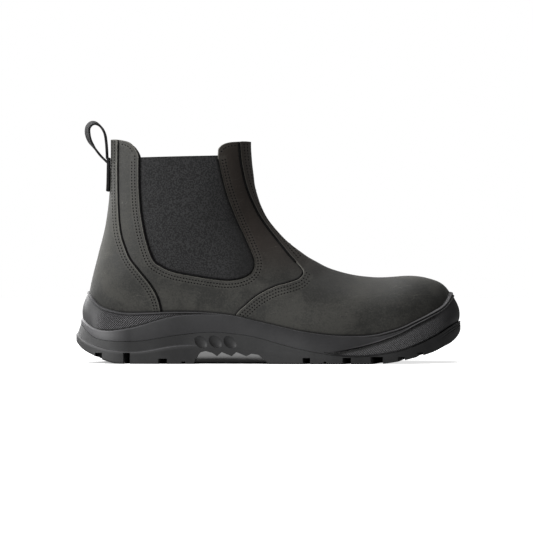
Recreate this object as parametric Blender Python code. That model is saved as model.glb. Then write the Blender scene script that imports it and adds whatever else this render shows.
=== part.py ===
"""A right side gore work boot at its real size: metres, +Z up, toe along +X, outer side along -Y.

The upper, insole, gores and the seat in the midsole all come from one last. The last is a fan of
slanted sections: upright across the toe, leaning back over the instep, nearly level at the collar.
Each section runs from its low end, under the foot or up the heel's back, to its high end, on the
toe's top or down the shaft's front, and every size in it is a share of a named size of the boot.
"""

import math
from typing import NamedTuple

import bmesh
import bpy
from mathutils import Euler, Matrix, Vector
from mathutils.bvhtree import BVHTree

# Sizes of the whole boot
LENGTH = 0.3073
COLLAR_HEIGHT = 0.178
COLLAR_WIDTH = 0.076
BALL_WIDTH = 0.098
INSTEP_HEIGHT = 0.096
TOE_HEIGHT = 0.0696
HEEL_SEAT = 0.029
BALL_SEAT = 0.016
TIP_HEIGHT = 0.038

# Walls, steps and clearances
WALL = 0.0021
OVERLAY = 0.0009
LASTING_DROP = 0.0016
GORE_SET = 0.0015
GORE_THICKNESS = 0.0013
INSOLE_THICKNESS = 0.0045
GAP = 0.0003
FLOOR_STEP = 0.0002  # how much higher the quarters' floor lies than the vamp's and the counter's
TOP_STEP = 0.003  # how far forms that nest stand above each other before the collar is cut

# Bounds that lie clear of the boot, for cutting with
BEHIND = -0.1 * LENGTH
AHEAD = 1.1 * LENGTH
BELOW = -0.3 * COLLAR_HEIGHT
ABOVE = 1.3 * COLLAR_HEIGHT

# Sole
SOLE_WIDTH = 0.1095
CUP_HEIGHT = 0.0574
LIP = 0.0021
TUCK = 0.0039
RECESS = 0.0014
LEDGE = 0.0012
CORE_INSET = 0.0075
CORE_THICKNESS = 0.005
EDGE_BEVEL = 0.0012
ARCH_HEIGHT = 0.0102
ARCH_TOOTH_DEPTH = 0.0040
ARCH_TOOTH_PITCH = 0.0116
ARCH_TEETH = 3
FLUTE_LENGTH = 0.0125
FLUTE_WIDTH = 0.0042
FLUTE_DEPTH = 0.0018
CENTRE_CHANNEL_WIDTH = 0.0065
CENTRE_CHANNEL_DEPTH = 0.0036
CHANNEL_SHIFT = 0.0022  # a slanted channel's start at the edge lies this far behind its middle
CUTTER_REACH = 0.008  # how far a channel's cutter stands out of the sole's edge
CUTTER_DEPTH = 0.006  # and below its tread
FLUTE_SHIFT = 0.0015
DEEPEST_LIP = 0.010

# Shares of the sole's length between which a feature of its side fades
HEEL_PANEL_FADE = (0.27, 0.37)
TOE_PANEL_FADE = (0.66, 0.72)
LEDGE_FADE = (0.27, 0.34)
HEEL_LUG_FADE = (0.0, 0.08)

# Shares of the midsole's height above the parting line
WAVE_STEP = 0.035
PANEL_TOP = 0.96
BEAD = 0.965
SIDE_BOW = 1.8  # over 1, the side stays upright below and leans in towards the lip

# Shares of the outsole's height above the tread
LEAST_LUG = 0.45
BEVEL_TOP = 0.2

# Pull loop
WEBBING_WIDTH = 0.016
WEBBING_THICKNESS = 0.0018
TAIL_THICKNESS = 0.0026
TAIL_TOP = 0.164
TAIL_BOTTOM = 0.137

AROUND = 24
TOE_SECTIONS = 7
TIP_SECTION = 0.35  # place of the first section, as a share of the step to the next
SECTIONS_PER_ROW = 2
SEAM_STEPS = 3
HEEL_STATIONS = 7
WAIST_STATIONS = 17
TOE_STATIONS = 9
INSOLE_STEPS = 24
FLOOR_STEPS = 48
BACK_STEPS = 56
TAIL_STEPS = 6
BLUNTEST_CORNER = 0.35  # least cosine by which a corner's offset grows


class Section(NamedTuple):
    """A section of the last. Places are shares of LENGTH and widths of half the ball or collar."""

    foot: float  # where its low end lies along the boot
    seat: float  # low end's height, 0 at the ball's seat and 1 at the heel's seat
    rise: float  # and further up the back, 1 at the collar
    front: float  # where its high end lies along the boot
    instep: float  # high end's height, 0 at the toe and 1 at the instep
    climb: float  # and further up the front, 1 at the collar
    low: float  # half width a quarter of the way from low end to high end
    mid: float  # half width midway
    high: float  # half width three quarters of the way
    shaft: float  # 0 where widths are shares of the ball's, 1 of the collar's
    base: float  # 1 for a round low end, less for a flatter one
    crown: float  # 1 for a round high end, less for a flatter one
    sway: float  # shift towards the inner side, as a share of the ball's width


LAST = (
    Section(0.983, 0.46, 0.00, 0.983, 0.00, 0.000, 1.00, 0.96, 0.76, 0.0, 0.30, 0.90, 0.020),
    Section(0.872, 0.19, 0.00, 0.872, 0.00, 0.000, 1.00, 0.96, 0.76, 0.0, 0.30, 0.90, 0.020),
    Section(0.781, 0.04, 0.00, 0.781, -0.05, 0.000, 1.00, 0.95, 0.72, 0.0, 0.30, 0.95, 0.015),
    Section(0.700, 0.00, 0.00, 0.700, 0.09, 0.000, 1.00, 0.93, 0.66, 0.0, 0.30, 1.00, 0.000),
    Section(0.618, 0.08, 0.00, 0.644, 0.33, 0.000, 0.93, 0.87, 0.61, 0.0, 0.32, 1.00, -0.020),
    Section(0.521, 0.31, 0.00, 0.596, 0.64, 0.000, 0.87, 0.83, 0.60, 0.2, 0.35, 1.05, -0.030),
    Section(0.407, 0.65, 0.00, 0.553, 1.00, 0.000, 0.84, 0.83, 0.65, 0.45, 0.38, 1.05, -0.030),
    Section(0.277, 0.92, 0.00, 0.521, 1.00, 0.126, 0.85, 0.90, 0.73, 0.7, 0.42, 1.05, -0.020),
    Section(0.146, 1.00, 0.00, 0.496, 1.00, 0.250, 0.87, 0.97, 0.82, 0.9, 0.48, 1.05, -0.010),
    Section(0.062, 1.00, 0.034, 0.480, 1.00, 0.366, 0.86, 1.01, 0.87, 1.0, 0.62, 1.05, -0.005),
    Section(0.0350, 1.00, 0.128, 0.472, 1.00, 0.451, 0.88, 1.02, 0.89, 1.0, 0.80, 1.02, 0.000),
    Section(0.0374, 1.00, 0.221, 0.465, 1.00, 0.549, 0.88, 1.01, 0.89, 1.0, 0.88, 1.00, 0.000),
    Section(0.0570, 1.00, 0.383, 0.461, 1.00, 0.659, 0.88, 0.99, 0.89, 1.0, 0.92, 0.98, 0.000),
    Section(0.0755, 1.00, 0.544, 0.4575, 1.00, 0.768, 0.88, 0.98, 0.89, 1.0, 0.93, 0.96, 0.000),
    Section(0.0862, 1.00, 0.705, 0.4556, 1.00, 0.866, 0.89, 0.98, 0.90, 1.0, 0.93, 0.95, 0.000),
    Section(0.0888, 1.00, 0.852, 0.4546, 1.00, 0.951, 0.90, 0.99, 0.91, 1.0, 0.93, 0.94, 0.000),
    Section(0.0898, 1.00, 1.060, 0.4546, 1.00, 1.110, 0.90, 1.00, 0.91, 1.0, 0.93, 0.94, 0.000),
)

TOE_ROWS = 1.0  # the first rows, whose sections bunch up towards the tip
HEEL_ROW = 9.0  # the row whose low end turns from under the heel up its back
TOE_PLAN_START = 0.7745
TOE_PLAN_ROUNDNESS = 2.0
TOE_SIDE_START = 0.872
TOE_SIDE_ROUNDNESS = 2.5
LAST_TIP = 0.983


class Spot(NamedTuple):
    """A point of a seam seen from the side: shares of LENGTH and of COLLAR_HEIGHT."""

    along: float
    up: float


COLLAR_BACK = (
    Spot(0.0898, 1.0013),
    Spot(0.1083, 0.9991),
    Spot(0.1291, 0.9919),
    Spot(0.1422, 0.9820),
    Spot(0.1526, 0.9649),
    Spot(0.1604, 0.9425),
)
GORE_BACK = (
    Spot(0.1643, 0.9231),
    Spot(0.1645, 0.7897),
    Spot(0.1684, 0.6863),
    Spot(0.1744, 0.6171),
    Spot(0.1843, 0.5411),
)
GORE_FOOT = (
    Spot(0.2012, 0.4616),
    Spot(0.2223, 0.4315),
    Spot(0.2536, 0.4076),
    Spot(0.3059, 0.3892),
    Spot(0.3757, 0.3712),
    Spot(0.4106, 0.3712),
    Spot(0.4384, 0.3834),
    Spot(0.4559, 0.4045),
    Spot(0.4629, 0.4315),
)
GORE_FRONT = (
    Spot(0.4613, 0.4706),
    Spot(0.4402, 0.5578),
    Spot(0.4171, 0.6436),
    Spot(0.3939, 0.7470),
    Spot(0.3798, 0.8373),
    Spot(0.3700, 0.9150),
)
COLLAR_FRONT = (
    Spot(0.3713, 0.9560),
    Spot(0.3817, 0.9739),
    Spot(0.3999, 0.9852),
    Spot(0.4259, 0.9897),
    Spot(0.4546, 0.9919),
    Spot(0.6000, 0.9919),
)
VAMP_EDGE = (
    Spot(0.4240, 1.1000),
    Spot(0.4285, 0.9416),
    Spot(0.4353, 0.8616),
    Spot(0.4470, 0.7811),
    Spot(0.4668, 0.7011),
    Spot(0.4900, 0.6324),
    Spot(0.5465, 0.5061),
    Spot(0.5740, 0.4520),
    Spot(0.5908, 0.4110),
    Spot(0.5790, 0.3790),
    Spot(0.5520, 0.3610),
    Spot(0.5199, 0.3456),
    Spot(0.4900, 0.3227),
    Spot(0.4634, 0.2939),
    Spot(0.4402, 0.2593),
    Spot(0.4171, 0.2193),
    Spot(0.4000, 0.1500),
)
COUNTER_EDGE = (
    Spot(0.1110, 1.1000),
    Spot(0.1080, 0.8840),
    Spot(0.1106, 0.6863),
    Spot(0.1166, 0.5829),
    Spot(0.1286, 0.5137),
    Spot(0.1422, 0.4616),
    Spot(0.1666, 0.4076),
    Spot(0.1945, 0.3474),
    Spot(0.2119, 0.2930),
    Spot(0.2205, 0.2324),
    Spot(0.2230, 0.1500),
)
LOOP_LINE = (
    Spot(0.0812, 0.8990),
    Spot(0.0760, 0.9080),
    Spot(0.0614, 0.9335),
    Spot(0.0458, 0.9694),
    Spot(0.0341, 1.0009),
    Spot(0.0292, 1.0324),
    Spot(0.0302, 1.0571),
    Spot(0.0380, 1.0737),
    Spot(0.0484, 1.0764),
    Spot(0.0588, 1.0674),
    Spot(0.0680, 1.0503),
    Spot(0.0745, 1.0256),
    Spot(0.0776, 0.9919),
    Spot(0.0792, 0.9560),
    Spot(0.0802, 0.9150),
)


class Plan(NamedTuple):
    """Half widths of the sole, as shares of half SOLE_WIDTH, at a share of LENGTH."""

    along: float
    outer: float
    inner: float


PLAN = (
    Plan(0.146, 0.676, 0.667),
    Plan(0.228, 0.703, 0.676),
    Plan(0.325, 0.712, 0.630),
    Plan(0.423, 0.749, 0.584),
    Plan(0.521, 0.840, 0.648),
    Plan(0.618, 0.950, 0.840),
    Plan(0.700, 0.995, 0.977),
    Plan(0.7745, 0.955, 1.010),
)
HEEL_ROUNDNESS = 2.2
SOLE_TOE_ROUNDNESS = 2.15
TOE_SWAY = 0.003


class Side(NamedTuple):
    """The sole's side at a share of LENGTH. Heights are shares of CUP_HEIGHT."""

    along: float
    lip: float  # top of the midsole against the upper
    parting: float  # where midsole meets outsole
    heel_wave: float  # top of the raised band, from parting (0) to lip (1)
    toe_wave: float  # bottom of the raised band, from parting (0) to lip (1)
    lug: float  # top of the outsole's lugs, as a share of the parting height
    tuck: float  # how far the parting line lies inside the outline, as a share of TUCK


SIDE = (
    Side(0.000, 1.000, 0.554, 0.14, 0.04, 0.65, 1.00),
    Side(0.020, 0.913, 0.453, 0.19, 0.04, 0.69, 0.90),
    Side(0.042, 0.816, 0.373, 0.25, 0.04, 0.70, 0.72),
    Side(0.088, 0.738, 0.319, 0.32, 0.04, 0.60, 0.51),
    Side(0.146, 0.703, 0.312, 0.47, 0.04, 0.52, 0.38),
    Side(0.267, 0.719, 0.400, 0.82, 0.04, 0.63, 0.30),
    Side(0.355, 0.703, 0.441, 0.90, 0.04, 0.55, 0.20),
    Side(0.416, 0.661, 0.415, 0.92, 0.04, 0.50, 0.15),
    Side(0.460, 0.605, 0.380, 0.92, 0.04, 0.50, 0.12),
    Side(0.520, 0.527, 0.293, 0.92, 0.04, 0.50, 0.10),
    Side(0.580, 0.455, 0.209, 0.92, 0.05, 0.50, 0.10),
    Side(0.668, 0.395, 0.125, 0.93, 0.18, 0.50, 0.10),
    Side(0.728, 0.389, 0.105, 0.93, 0.44, 0.50, 0.10),
    Side(0.772, 0.406, 0.122, 0.94, 0.60, 0.50, 0.10),
    Side(0.804, 0.445, 0.148, 0.95, 0.68, 0.55, 0.10),
    Side(0.842, 0.503, 0.190, 0.96, 0.76, 0.60, 0.08),
    Side(0.882, 0.595, 0.268, 0.96, 0.82, 0.65, 0.05),
    Side(0.934, 0.717, 0.400, 0.96, 0.84, 0.72, 0.02),
    Side(0.973, 0.832, 0.523, 0.96, 0.84, 0.78, 0.00),
    Side(1.000, 0.990, 0.589, 0.96, 0.84, 0.85, 0.00),
)


class Tread(NamedTuple):
    """Height of the tread above the floor, as a share of CUP_HEIGHT, at a share of LENGTH."""

    along: float
    up: float


TREAD = (
    Tread(0.000, 0.316),
    Tread(0.020, 0.200),
    Tread(0.046, 0.122),
    Tread(0.078, 0.045),
    Tread(0.117, 0.000),
    Tread(0.765, 0.000),
    Tread(0.817, 0.024),
    Tread(0.853, 0.061),
    Tread(0.898, 0.122),
    Tread(0.924, 0.167),
    Tread(0.949, 0.233),
    Tread(0.974, 0.305),
    Tread(0.991, 0.401),
    Tread(1.000, 0.502),
)


class Channel(NamedTuple):
    """A groove across the tread: its middle along LENGTH, width, depth, and how far in it reaches."""

    along: float
    width: float
    depth: float
    outer_reach: float  # share of the half width, from the outer edge inwards
    inner_reach: float
    slant: float  # degrees that its inner end leans towards the toe


CHANNELS = (
    Channel(0.0645, 0.0060, 0.0045, 0.55, 0.55, 8),
    Channel(0.1351, 0.0052, 0.0088, 0.62, 0.62, 14),
    Channel(0.2281, 0.0068, 0.0042, 0.60, 0.60, 14),
    Channel(0.2815, 0.0030, 0.0019, 0.60, 0.60, 14),
    Channel(0.5965, 0.0059, 0.0050, 0.66, 0.66, 16),
    Channel(0.6438, 0.0020, 0.0022, 0.50, 0.50, 16),
    Channel(0.6993, 0.0064, 0.0052, 0.66, 0.66, 16),
    Channel(0.7774, 0.0092, 0.0058, 0.66, 0.66, 14),
    Channel(0.8415, 0.0052, 0.0030, 0.62, 0.62, 12),
    Channel(0.8912, 0.0052, 0.0028, 0.60, 0.60, 8),
)
CENTRE_CHANNELS = ((0.150, 0.255), (0.585, 0.800))

ARCH_START = 0.3023
ARCH_END = 0.5080
ARCH_FIRST_TOOTH = 0.3677
ARCH_TOOTH_RUN = 0.0037  # from a tooth's tip forward to the crest after it
ARCH_FIRST_CREST = 0.86  # crests, as shares of ARCH_HEIGHT
ARCH_CREST = 0.92
ARCH_LAST_CREST = 0.80
FLUTE_LEAN = 41


class ArchSpot(NamedTuple):
    """A point of the arch: metres past its start or end, and a share of ARCH_HEIGHT."""

    past: float
    up: float


ARCH_BACK = (
    ArchSpot(0.0, -0.40),
    ArchSpot(0.0024, 0.22),
    ArchSpot(0.0046, 0.61),
    ArchSpot(0.0073, 0.91),
    ArchSpot(0.0110, 1.00),
)
ARCH_FRONT = (
    ArchSpot(-0.0105, 0.72),
    ArchSpot(-0.0076, 0.48),
    ArchSpot(-0.0016, -0.02),
    ArchSpot(0.0, -0.40),
)


def smooth(low, high, value):
    """0 at low, 1 at high, easing in and out between them."""
    share = min(max((value - low) / (high - low), 0.0), 1.0)
    return share * share * (3 - 2 * share)


def mix(first, second, share):
    return first + (second - first) * share


def hermite(p0, p1, p2, p3, t):
    """A smooth curve through p1 and p2 that heads along their neighbours."""
    return p1 + 0.5 * t * (
        p2 - p0 + t * (2 * p0 - 5 * p1 + 4 * p2 - p3 + t * (3 * (p1 - p2) + p3 - p0))
    )


def row_at(table, place):
    """The row of a table at a fractional place, read from a smooth curve through its rows."""
    index = min(max(int(place), 0), len(table) - 2)
    rows = [table[min(max(index + k, 0), len(table) - 1)] for k in (-1, 0, 1, 2)]
    return type(table[0])(*(hermite(*columns, place - index) for columns in zip(*rows)))


def row_along(table, share):
    """The row of a table whose first column is this share, level between rows without overshoot."""
    share = min(max(share, table[0].along), table[-1].along)
    index = next(i for i in range(len(table) - 1) if share <= table[i + 1].along)
    rows = [table[min(max(index + k, 0), len(table) - 1)] for k in (-1, 0, 1, 2)]
    before, first, second, after = rows
    span = second.along - first.along
    t = (share - first.along) / span
    columns = []
    for a, b, c, d in zip(*rows):
        slope = (c - b) / span
        lead = (b - a) / max(first.along - before.along, 1e-9) if before is not first else slope
        trail = (d - c) / max(after.along - second.along, 1e-9) if after is not second else slope
        start = 0.5 * (lead + slope) if lead * slope > 0 else 0.0
        end = 0.5 * (slope + trail) if slope * trail > 0 else 0.0
        start = math.copysign(min(abs(start), 3 * abs(slope)), slope)
        end = math.copysign(min(abs(end), 3 * abs(slope)), slope)
        h = t * t * (3 - 2 * t)
        columns.append(
            b + (c - b) * h
            + span * (start * t * (1 - t) ** 2 - end * t * t * (1 - t))
        )
    return type(first)(*columns)


def superellipse(share, power):
    """Height of a rounded end, 1 where the share is 0 and 0 where it is 1."""
    share = min(max(share, 0.0), 1.0)
    return (1 - share**power) ** (1 / power)


def section_ends(row, outset, drop):
    """Low end, high end and width factor of a section whose surface lies outset off the last."""
    low = Vector((row.foot * LENGTH, 0.0, mix(BALL_SEAT, HEEL_SEAT, row.seat)))
    low.z += row.rise * (COLLAR_HEIGHT - HEEL_SEAT)
    high = Vector((row.front * LENGTH, 0.0, mix(TOE_HEIGHT, INSTEP_HEIGHT, row.instep)))
    high.z += row.climb * (COLLAR_HEIGHT - INSTEP_HEIGHT)
    under = 1 - smooth(0.0, 0.1, row.rise)
    along = (high - low).normalized()
    low -= along * outset * (1 - under)
    low.z -= drop * under
    high += along * outset
    plan = (row.foot - TOE_PLAN_START) / (LAST_TIP - TOE_PLAN_START)
    side = (row.foot - TOE_SIDE_START) / (LAST_TIP - TOE_SIDE_START)
    height = superellipse(side, TOE_SIDE_ROUNDNESS)
    for end in (low, high):
        end.z = mix(TIP_HEIGHT, end.z, height)
        end.x += outset * max(side, 0.0)
    return low, high, superellipse(plan, TOE_PLAN_ROUNDNESS)


def section_ring(row, outset, drop):
    """Points round a section, from its low end up the outer side and down the inner side."""
    low, high, taper = section_ends(row, outset, drop)
    half = 0.5 * mix(BALL_WIDTH, COLLAR_WIDTH, row.shaft)
    quarter = math.sqrt(0.75)
    first = row.low / quarter ** mix(row.base, row.crown, smooth(0, 1, 0.25))
    last = row.high / quarter ** mix(row.base, row.crown, smooth(0, 1, 0.75))
    points = []
    for k in range(AROUND):
        angle = math.tau * k / AROUND
        share = 0.5 * (1 - math.cos(angle))
        bow = 8 * (first + last - 2 * row.mid)
        lean = 2 * (last - first)
        width = half * (row.mid + lean * (share - 0.5) + bow * (share - 0.5) ** 2) + outset
        sine = math.sin(angle)
        roundness = mix(row.base, row.crown, smooth(0, 1, share))
        reach = abs(sine) ** roundness if abs(sine) > 1e-9 else 0.0
        point = low.lerp(high, share)
        point.y = row.sway * BALL_WIDTH - math.copysign(width * taper * reach, sine)
        points.append(point)
    return points


def section_places():
    """Places of the sections between the table's rows, closer together towards the tip."""
    quarter = 0.5 * math.pi
    toe = [TOE_ROWS * (1 - math.sin(quarter * (1 - (k + TIP_SECTION) / TOE_SECTIONS)))
           for k in range(TOE_SECTIONS)]
    steps = (len(LAST) - 1 - int(TOE_ROWS)) * SECTIONS_PER_ROW
    return toe + [TOE_ROWS + k / SECTIONS_PER_ROW for k in range(steps + 1)]


def remove_object(obj):
    mesh = obj.data
    bpy.data.objects.remove(obj)
    bpy.data.meshes.remove(mesh)


def object_from(name, bm):
    """An object from a closed bmesh, its faces turned outwards."""
    bmesh.ops.recalc_face_normals(bm, faces=bm.faces)
    mesh = bpy.data.meshes.new(name)
    bm.to_mesh(mesh)
    bm.free()
    obj = bpy.data.objects.new(name, mesh)
    bpy.context.scene.collection.objects.link(obj)
    return obj


def loft(name, rings):
    """A closed solid through rings of as many points each, with a flat face at either end.

    Its sides are split along diagonals that mirror each other, so that every cut meets flat faces.
    """
    bm = bmesh.new()
    loops = [[bm.verts.new(point) for point in ring] for ring in rings]
    count = len(loops[0])
    for first, second in zip(loops, loops[1:]):
        for k in range(count):
            j = (k + 1) % count
            if k < count // 2:
                bm.faces.new((first[k], first[j], second[j]))
                bm.faces.new((first[k], second[j], second[k]))
            else:
                bm.faces.new((first[k], first[j], second[k]))
                bm.faces.new((first[j], second[j], second[k]))
    bm.faces.new(loops[0])
    bm.faces.new(loops[-1])
    return object_from(name, bm)


def last_form(name, outset, drop=0.0, extra=0.0):
    """The last's solid, its surface moved out by outset, its floor down and its top extra up."""
    rings = [section_ring(row_at(LAST, place), outset, drop) for place in section_places()]
    if extra:
        rings.append([point + Vector((0.0, 0.0, extra)) for point in rings[-1]])
    return loft(name, rings)


def prism(name, outline, y_from, y_to):
    """The solid that an outline in X and Z sweeps across the boot."""
    bm = bmesh.new()
    face = bm.faces.new([bm.verts.new((x, y_from, z)) for x, z in outline])
    swept = bmesh.ops.extrude_face_region(bm, geom=[face])
    moved = [item for item in swept["geom"] if isinstance(item, bmesh.types.BMVert)]
    bmesh.ops.translate(bm, verts=moved, vec=(0, y_to - y_from, 0))
    return object_from(name, bm)


def combine(obj, tool, operation):
    """Joins, cuts or intersects an object with a tool, which is used up."""
    modifier = obj.modifiers.new("combine", "BOOLEAN")
    modifier.operation = operation
    modifier.solver = "EXACT"
    modifier.object = tool
    graph = bpy.context.evaluated_depsgraph_get()
    made = bpy.data.meshes.new_from_object(obj.evaluated_get(graph))
    obj.modifiers.clear()
    old = obj.data
    obj.data = made
    bpy.data.meshes.remove(old)
    remove_object(tool)


def seam(spots):
    """A smooth line in X and Z through the spots of a seam."""
    steps = (len(spots) - 1) * SEAM_STEPS
    line = [row_at(spots, k / SEAM_STEPS) for k in range(steps + 1)]
    return [(spot.along * LENGTH, spot.up * COLLAR_HEIGHT) for spot in line]


def inset_outline(outline, distance):
    """A closed outline in X and Z moved inwards by a distance."""
    area = sum(a[0] * b[1] - b[0] * a[1] for a, b in zip(outline, outline[1:] + outline[:1]))
    turn = math.copysign(1.0, area)
    moved = []
    for k, point in enumerate(outline):
        before = Vector(outline[k - 1])
        here = Vector(point)
        after = Vector(outline[(k + 1) % len(outline)])
        first = (here - before).normalized()
        second = (after - here).normalized()
        normals = [Vector((-side.y, side.x)) * turn for side in (first, second)]
        between = (normals[0] + normals[1]).normalized()
        reach = distance / max(between.dot(normals[0]), BLUNTEST_CORNER)
        moved.append(tuple(here + between * reach))
    return moved


def gore_sides():
    """The gore's edge from its top at the back, round its foot, to its top at the front."""
    return seam(GORE_BACK + GORE_FOOT + GORE_FRONT)


def collar_cutter():
    """What lies above the collar's edge and inside the gores, all the way across."""
    line = seam(COLLAR_BACK) + gore_sides() + seam(COLLAR_FRONT)
    outline = [(BEHIND, ABOVE), (BEHIND, line[0][1])] + line + [(line[-1][0], ABOVE)]
    return prism("collar_cutter", outline, -BALL_WIDTH, BALL_WIDTH)


def overlay(name, outset, edge, end):
    """The part of the last's form on one side of a seam, which stands proud of the quarters."""
    line = seam(edge)
    outline = line + [(end, BELOW), (end, ABOVE)]
    if outset:
        outline = inset_outline(outline, -outset)
    piece = last_form(name, outset, outset, TOP_STEP)
    combine(piece, prism(name + "_bounds", outline, -BALL_WIDTH, BALL_WIDTH), "INTERSECT")
    return piece


def upper_forms(outset):
    """The outer forms of the upper: quarters, and vamp and counter a step proud of them."""
    quarters = last_form("quarters", outset - OVERLAY, outset - FLOOR_STEP)
    vamp = overlay("vamp", outset, VAMP_EDGE, AHEAD)
    counter = overlay("counter", outset, COUNTER_EDGE, BEHIND)
    return quarters, vamp, counter


def make_upper():
    """The upper: one hollow wall, open at the collar, at the gores and under the foot."""
    upper, vamp, counter = upper_forms(0.0)
    upper.name = "upper"
    combine(upper, vamp, "UNION")
    combine(upper, counter, "UNION")
    foot_space = last_form("foot_space", -OVERLAY - WALL, LASTING_DROP, 2 * TOP_STEP)
    combine(upper, foot_space, "DIFFERENCE")
    combine(upper, collar_cutter(), "DIFFERENCE")
    return upper


def make_gore(name, side):
    """An elastic gore: a thin shell that fills the opening in one side of the upper."""
    outline = inset_outline(gore_sides(), GAP)
    gore = last_form(name, -GORE_SET)
    combine(gore, last_form("gore_back", -GORE_SET - GORE_THICKNESS), "DIFFERENCE")
    bounds = prism("gore_bounds", outline, side * WALL, side * BALL_WIDTH)
    combine(gore, bounds, "INTERSECT")
    return gore


def floor_line(steps):
    """The last's floor seen from the side, from the heel's back to the tip."""
    line = []
    for k in range(steps + 1):
        row = row_at(LAST, HEEL_ROW * (1 - k / steps))
        low = section_ends(row, 0.0, 0.0)[0]
        line.append((low.x, low.z))
    return line


def make_insole():
    """The insole: the bottom slice of the space inside the upper."""
    line = [(x, z + INSOLE_THICKNESS) for x, z in floor_line(INSOLE_STEPS)]
    line[0] = (BEHIND, line[2][1])
    line[1] = (line[1][0], line[2][1])
    line[-1] = (AHEAD, line[-2][1])
    outline = line + [(AHEAD, BELOW), (BEHIND, BELOW)]
    insole = last_form("insole", -OVERLAY - WALL - GAP)
    bounds = prism("insole_bounds", outline, -BALL_WIDTH, BALL_WIDTH)
    combine(insole, bounds, "INTERSECT")
    return insole


def half_widths(x):
    """Y of the sole's outer and inner edge at a distance from the heel."""
    half = 0.5 * SOLE_WIDTH
    row = row_along(PLAN, x / LENGTH)
    outer, inner, sway = -row.outer * half, row.inner * half, 0.0
    heel_end = PLAN[0].along * LENGTH
    toe_start = PLAN[-1].along * LENGTH
    if x < heel_end:
        round_off = superellipse((heel_end - x) / heel_end, HEEL_ROUNDNESS)
    elif x > toe_start:
        round_off = superellipse((x - toe_start) / (LENGTH - toe_start), SOLE_TOE_ROUNDNESS)
        sway = TOE_SWAY * (1 - round_off)
    else:
        round_off = 1.0
    return outer * round_off + sway, inner * round_off + sway


def sole_stations():
    """Distances from the heel at which the sole has a pair of edge points."""
    heel_end = PLAN[0].along * LENGTH
    toe_start = PLAN[-1].along * LENGTH
    quarter = 0.5 * math.pi
    heel = [heel_end * (1 - math.cos(quarter * k / HEEL_STATIONS))
            for k in range(1, HEEL_STATIONS)]
    middle = [mix(heel_end, toe_start, k / WAIST_STATIONS) for k in range(WAIST_STATIONS + 1)]
    toe = [mix(toe_start, LENGTH, math.sin(quarter * k / TOE_STATIONS))
           for k in range(1, TOE_STATIONS)]
    return heel + middle + toe


def sole_outline():
    """Points round the sole's outline and their outward directions, heel, outer side, toe, inner."""
    stations = sole_stations()
    sides = [half_widths(x) for x in stations]
    points = [Vector((0.0, 0.0))]
    points += [Vector((x, side[0])) for x, side in zip(stations, sides)]
    points.append(Vector((LENGTH, TOE_SWAY)))
    points += [Vector((x, side[1])) for x, side in zip(reversed(stations), reversed(sides))]
    outward = []
    for k, point in enumerate(points):
        along = points[(k + 1) % len(points)] - points[k - 1]
        outward.append(Vector((along.y, -along.x)).normalized())
    return points, outward


def strip_loft(name, rings):
    """A solid through rings round the sole, its ends closed by strips across the boot.

    Faces are split along set diagonals, so that two solids that meet have matching faces.
    """
    bm = bmesh.new()
    loops = [[bm.verts.new(point) for point in ring] for ring in rings]
    count = len(loops[0])
    for first, second in zip(loops, loops[1:]):
        for k in range(count):
            j = (k + 1) % count
            bm.faces.new((first[k], first[j], second[j]))
            bm.faces.new((first[k], second[j], second[k]))
    for loop in (loops[0], loops[-1]):
        bm.faces.new((loop[0], loop[1], loop[-1]))
        for k in range(1, count // 2 - 1):
            bm.faces.new((loop[k], loop[k + 1], loop[-k - 1]))
            bm.faces.new((loop[k], loop[-k - 1], loop[-k]))
        middle = count // 2
        bm.faces.new((loop[middle - 1], loop[middle], loop[middle + 1]))
    return object_from(name, bm)


def lip_insets(outline, outward):
    """How far inside the outline the lip lies where it hugs the upper."""
    form = last_form("lip_guide", LIP, LIP)
    bm = bmesh.new()
    bm.from_mesh(form.data)
    tree = BVHTree.FromBMesh(bm)
    bm.free()
    remove_object(form)
    away = 0.5 * SOLE_WIDTH
    insets = []
    for point, out in zip(outline, outward):
        height = row_along(SIDE, point.x / LENGTH).lip * CUP_HEIGHT
        start = Vector((point.x + away * out.x, point.y + away * out.y, height))
        hit = tree.ray_cast(start, Vector((-out.x, -out.y, 0.0)))[3]
        insets.append(hit - away if hit is not None else DEEPEST_LIP)
    return insets


def parting_height(x):
    return row_along(SIDE, x / LENGTH).parting * CUP_HEIGHT


def floor_height(x):
    """Height of the last's floor at a distance from the heel."""
    line = floor_line(FLOOR_STEPS)
    for (x_from, z_from), (x_to, z_to) in zip(line, line[1:]):
        if x_from <= x <= x_to:
            return mix(z_from, z_to, (x - x_from) / (x_to - x_from))
    return line[0][1] if x < line[0][0] else TIP_HEIGHT


def core_spot(point, out, lowered):
    """Where the parting face levels out inside the rim, below the last's floor."""
    spot = point - out * CORE_INSET
    height = min(parting_height(point.x), floor_height(spot.x) - CORE_THICKNESS)
    return Vector((spot.x, spot.y, height - lowered))


def tread_height(x):
    return row_along(TREAD, x / LENGTH).up * CUP_HEIGHT


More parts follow.
